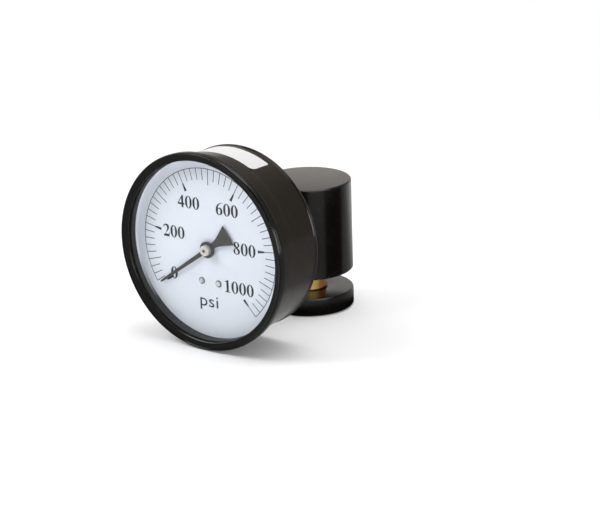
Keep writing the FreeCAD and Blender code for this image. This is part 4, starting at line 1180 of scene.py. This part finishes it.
PEEL_ALONG, PEEL_ACROSS, PEEL_LIFT = 0.93, 0.8, 40
sheets = []
for lift in (0.02, 0.11):
    grid = []
    for i in range(ALONG + 1):
        angle = STICKER_START + (STICKER_END - STICKER_START) * i / ALONG
        inset = sticker_limits(angle)
        row = []
        for j in range(ACROSS + 1):
            height = STICKER_LOW + inset + (STICKER_HIGH - STICKER_LOW - 2 * inset) * j / ACROSS
            peel = (max(0.0, i / ALONG - PEEL_ALONG) * max(0.0, j / ACROSS - PEEL_ACROSS)
                    * PEEL_LIFT)
            radius = case_surface(height) + lift + peel
            turn = math.radians(angle)
            spot = (radius * math.sin(turn) * MM, radius * math.cos(turn) * MM, height * MM)
            row.append(sticker.verts.new(spot))
        grid.append(row)
    sheets.append(grid)
lower, upper = sheets
for i in range(ALONG):
    for j in range(ACROSS):
        for grid in sheets:
            sticker.faces.new((grid[i][j], grid[i + 1][j], grid[i + 1][j + 1], grid[i][j + 1]))
for i in range(ALONG):
    for j in (0, ACROSS):
        sticker.faces.new((lower[i][j], lower[i + 1][j], upper[i + 1][j], upper[i][j]))
for j in range(ACROSS):
    for i in (0, ALONG):
        sticker.faces.new((lower[i][j], lower[i][j + 1], upper[i][j + 1], upper[i][j]))
sticker_mesh = to_mesh("sticker", sticker)
smooth(sticker_mesh)
show("sticker", sticker_mesh, GAUGE, "sticker_white", FIXED)
print("sticker", round(math.radians(STICKER_END - STICKER_START) * rear_radius, 1), "mm long")

# %% [markdown]
# ## Floor
#
# The tester stands on the near edge of its foot and the lower edge of its bezel, so the
# floor passes through both. It is white to the camera, and still darkens where the tester
# keeps the light away. Near the tester most of that white is lit paper, and further out
# it is a glow, so the floor runs out into plain white.

# %% Floor
BEZEL_EDGE = 0.3
FLOOR_HALF = 3.0
FLOOR_DROP = 0.0001
bezel_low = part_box("bezel_ring")[0]
foot_edge = -(body_radius - CHAMFER) * MM
lean = math.atan2(bezel_low.z, foot_edge - (bezel_low.y + BEZEL_EDGE * MM))
signs = ((-1, -1), (1, -1), (1, 1), (-1, 1))
corners = [(x * FLOOR_HALF, y * FLOOR_HALF, 0) for x, y in signs]
floor_mesh = bpy.data.meshes.new("floor")
floor_mesh.from_pydata(corners, [], [(0, 1, 2, 3)])
floor = add_object("floor", floor_mesh)
tilt = Matrix.Rotation(-lean, 4, "X")
floor.matrix_world = Matrix.Translation((0, foot_edge, -FLOOR_DROP)) @ tilt
print("lean", round(math.degrees(lean), 2), "degrees")

# %% Floor paper
CAMERA_GLOW = 0.07
GLOW_NEAR, GLOW_FAR = 0.14, 0.50


def light_path(finish, ray):
    return finish.node("ShaderNodeLightPath", output=ray)


def glow(finish, strength):
    values = {"Color": (1.0, 1.0, 1.0), "Strength": strength}
    return finish.node("ShaderNodeEmission", values=values)


paper = Finish("floor_white")
fibres = paper.specks(2.0, detail=2.0)
paper.put(base_color=paper.blend(fibres, (0.90, 0.90, 0.91), (0.89, 0.89, 0.90)),
          roughness=0.6, specular_ior_level=0.0)
x, y, z = paper.place()
far = paper.ramp(paper.reach(x, y), GLOW_NEAR, GLOW_FAR)
to_camera = light_path(paper, "Is Camera Ray") * (far * (1 - CAMERA_GLOW) + CAMERA_GLOW)
seen = paper.mix(to_camera, paper.principled(), glow(paper, 1.0))
print("floor glows from", GLOW_NEAR, "to", GLOW_FAR, "m")

# %% [markdown]
# ## What the black and the brass reflect
#
# Black paint shows little but reflections. In them alone, the floor is dim in front, bright
# behind and dark close to the foot. A dark card, a strip light and a graded backdrop are
# seen there too, as flags and softboxes are in a studio.

# %% Mirrored floor
SHINE_LIGHT = 0.33
SHINE_REAR = 0.95
SHADE_X, SHADE_Y = 0.010, 0.017
SHADE_NEAR, SHADE_FAR = 0.027, 0.037
BOUNCE_X, BOUNCE_Y = 0.036, -0.016
BOUNCE_NEAR, BOUNCE_FAR = 0.014, 0.034
BOUNCE_LIGHT = 0.28
REAR_SLANT = 1.2
REAR_NEAR, REAR_FAR = 0.04, 0.22
shade = paper.ramp(paper.reach(x - SHADE_X, y - SHADE_Y), SHADE_NEAR, SHADE_FAR)
bounce = 1 - paper.ramp(paper.reach(x - BOUNCE_X, y - BOUNCE_Y), BOUNCE_NEAR, BOUNCE_FAR)
rear = paper.ramp(y - x * REAR_SLANT, REAR_NEAR, REAR_FAR)
strength = shade * (SHINE_LIGHT + rear * (SHINE_REAR - SHINE_LIGHT) + bounce * BOUNCE_LIGHT)
shine = paper.blend(strength / SHINE_REAR, (0, 0, 0), (SHINE_REAR, SHINE_REAR, SHINE_REAR))
mirror = paper.node("ShaderNodeBsdfPrincipled",
                    values={"Base Color": (0, 0, 0), "Specular IOR Level": 0.0,
                            "Emission Color": shine, "Emission Strength": 1.0})
paper.surface(paper.mix(light_path(paper, "Is Glossy Ray"), seen, mirror))
floor_mesh.materials.append(paper.material)
print("mirrored floor from", SHINE_LIGHT, "to", SHINE_REAR)

# %% Dark card
def arc_sheet(name, reach, first, last, steps, low, high):
    """An upright sheet, in metres, bent round the tester from one bearing to another."""
    turns = [math.radians(first + (last - first) * step / steps) for step in range(steps + 1)]
    base = [(reach * math.cos(turn), reach * math.sin(turn), low) for turn in turns]
    top = [(x, y, high) for x, y, _ in base]
    quads = [(step, step + 1, step + steps + 2, step + steps + 1) for step in range(steps)]
    mesh = bpy.data.meshes.new(name)
    mesh.from_pydata(base + top, [], quads)
    sheet = add_object(name, mesh)
    return sheet


def only_in_shine(sheet):
    """Let nothing but reflections see a sheet."""
    for ray in ("camera", "diffuse", "transmission", "shadow", "volume_scatter"):
        setattr(sheet, f"visible_{ray}", False)


CARD_REACH, CARD_LOW, CARD_HIGH = 0.060, 0.001, 0.058
card = arc_sheet("dark_card", CARD_REACH, -17, 29, 12, CARD_LOW, CARD_HIGH)
only_in_shine(card)
velvet = Finish("card_black")
nap = velvet.blend(velvet.specks(1.0), (0.002, 0.002, 0.002), (0.003, 0.003, 0.003))
velvet.put(base_color=nap, roughness=0.9, specular_ior_level=0.0)
card.data.materials.append(velvet.material)
print("dark card", CARD_HIGH, "m high")

# %% Strip light
STRIP_REACH, STRIP_LOW, STRIP_HIGH = 0.600, 0.03, 0.26
STRIP_GLOW = 3.6
strip = arc_sheet("strip_light", STRIP_REACH, -52, 8, 12, STRIP_LOW, STRIP_HIGH)
only_in_shine(strip)
silk = Finish("strip_white")
silk.surface(glow(silk, STRIP_GLOW))
strip.data.materials.append(silk.material)
print("strip light", STRIP_REACH, "m away")

# %% Backdrop
BACKDROP_REACH, BACKDROP_LOW, BACKDROP_HIGH = 1.3, -0.2, 2.2
SIDE_FROM, SIDE_TO = -0.1, 0.65
UP_FROM, UP_TO = 0.5, 0.72
backdrop = arc_sheet("backdrop", BACKDROP_REACH, -20, 200, 44, BACKDROP_LOW, BACKDROP_HIGH)
screen = Finish("backdrop_white")
x, y, z = screen.place()
side = screen.ramp(x, SIDE_FROM, SIDE_TO)
behind = screen.blend(screen.ramp(z, UP_FROM, UP_TO), (0.88, 0.84, 0.79), (0.42, 0.41, 0.38))
screen.put(base_color=(0, 0, 0), specular_ior_level=0.0, emission_strength=1.0,
           emission_color=screen.blend(side, behind, (0.25, 0.25, 0.24)))
in_shine = light_path(screen, "Is Glossy Ray")
screen.surface(screen.mix(in_shine, glow(screen, 1.0), screen.principled()))
backdrop.data.materials.append(screen.material)
print("backdrop", BACKDROP_REACH, "m away")

# %% [markdown]
# ## Room and lamps
#
# The world is a pale room, white to the camera and nearly dark in reflections. Two
# softboxes give the light its direction, one high at the left and one above.

# %% Room
ROOM_DIFFUSE = 0.55
ROOM_SHINE = 0.04
world = bpy.data.worlds.new("room")
bpy.context.scene.world = world
world.use_nodes = True
room = world.node_tree
room.nodes.clear()
path = room.nodes.new("ShaderNodeLightPath")


def background(strength):
    made = room.nodes.new("ShaderNodeBackground")
    made.inputs["Color"].default_value = (1, 1, 1, 1)
    made.inputs["Strength"].default_value = strength
    return made.outputs[0]


def choose(ray, usual, for_ray):
    """One light for most rays and another for the named kind."""
    mix = room.nodes.new("ShaderNodeMixShader")
    room.links.new(path.outputs[ray], mix.inputs[0])
    room.links.new(usual, mix.inputs[1])
    room.links.new(for_ray, mix.inputs[2])
    return mix.outputs[0]


light = choose("Is Glossy Ray", background(ROOM_DIFFUSE), background(ROOM_SHINE))
light = choose("Is Camera Ray", light, background(1.0))
surface = room.nodes.new("ShaderNodeOutputWorld").inputs["Surface"]
room.links.new(light, surface)
print("room light", ROOM_DIFFUSE)

# %% Lamps
LAMPS = {"key_left": ((-0.44, -0.48, 0.62), 4.0, 0.42), "top": ((0.15, 0.1, 1.0), 4.8, 0.7)}
AIM = Vector((0, -0.05, 0.04))
for name, (where, watts, size) in LAMPS.items():
    softbox = bpy.data.lights.new(name, "AREA")
    softbox.energy = watts
    softbox.size = size
    lamp = add_object(name, softbox)
    lamp.location = where
    lamp.rotation_euler = (AIM - Vector(where)).to_track_quat("-Z", "Y").to_euler()
print("lamps", list(LAMPS))

# %% Close
bpy.context.scene.view_settings.view_transform = "Standard"
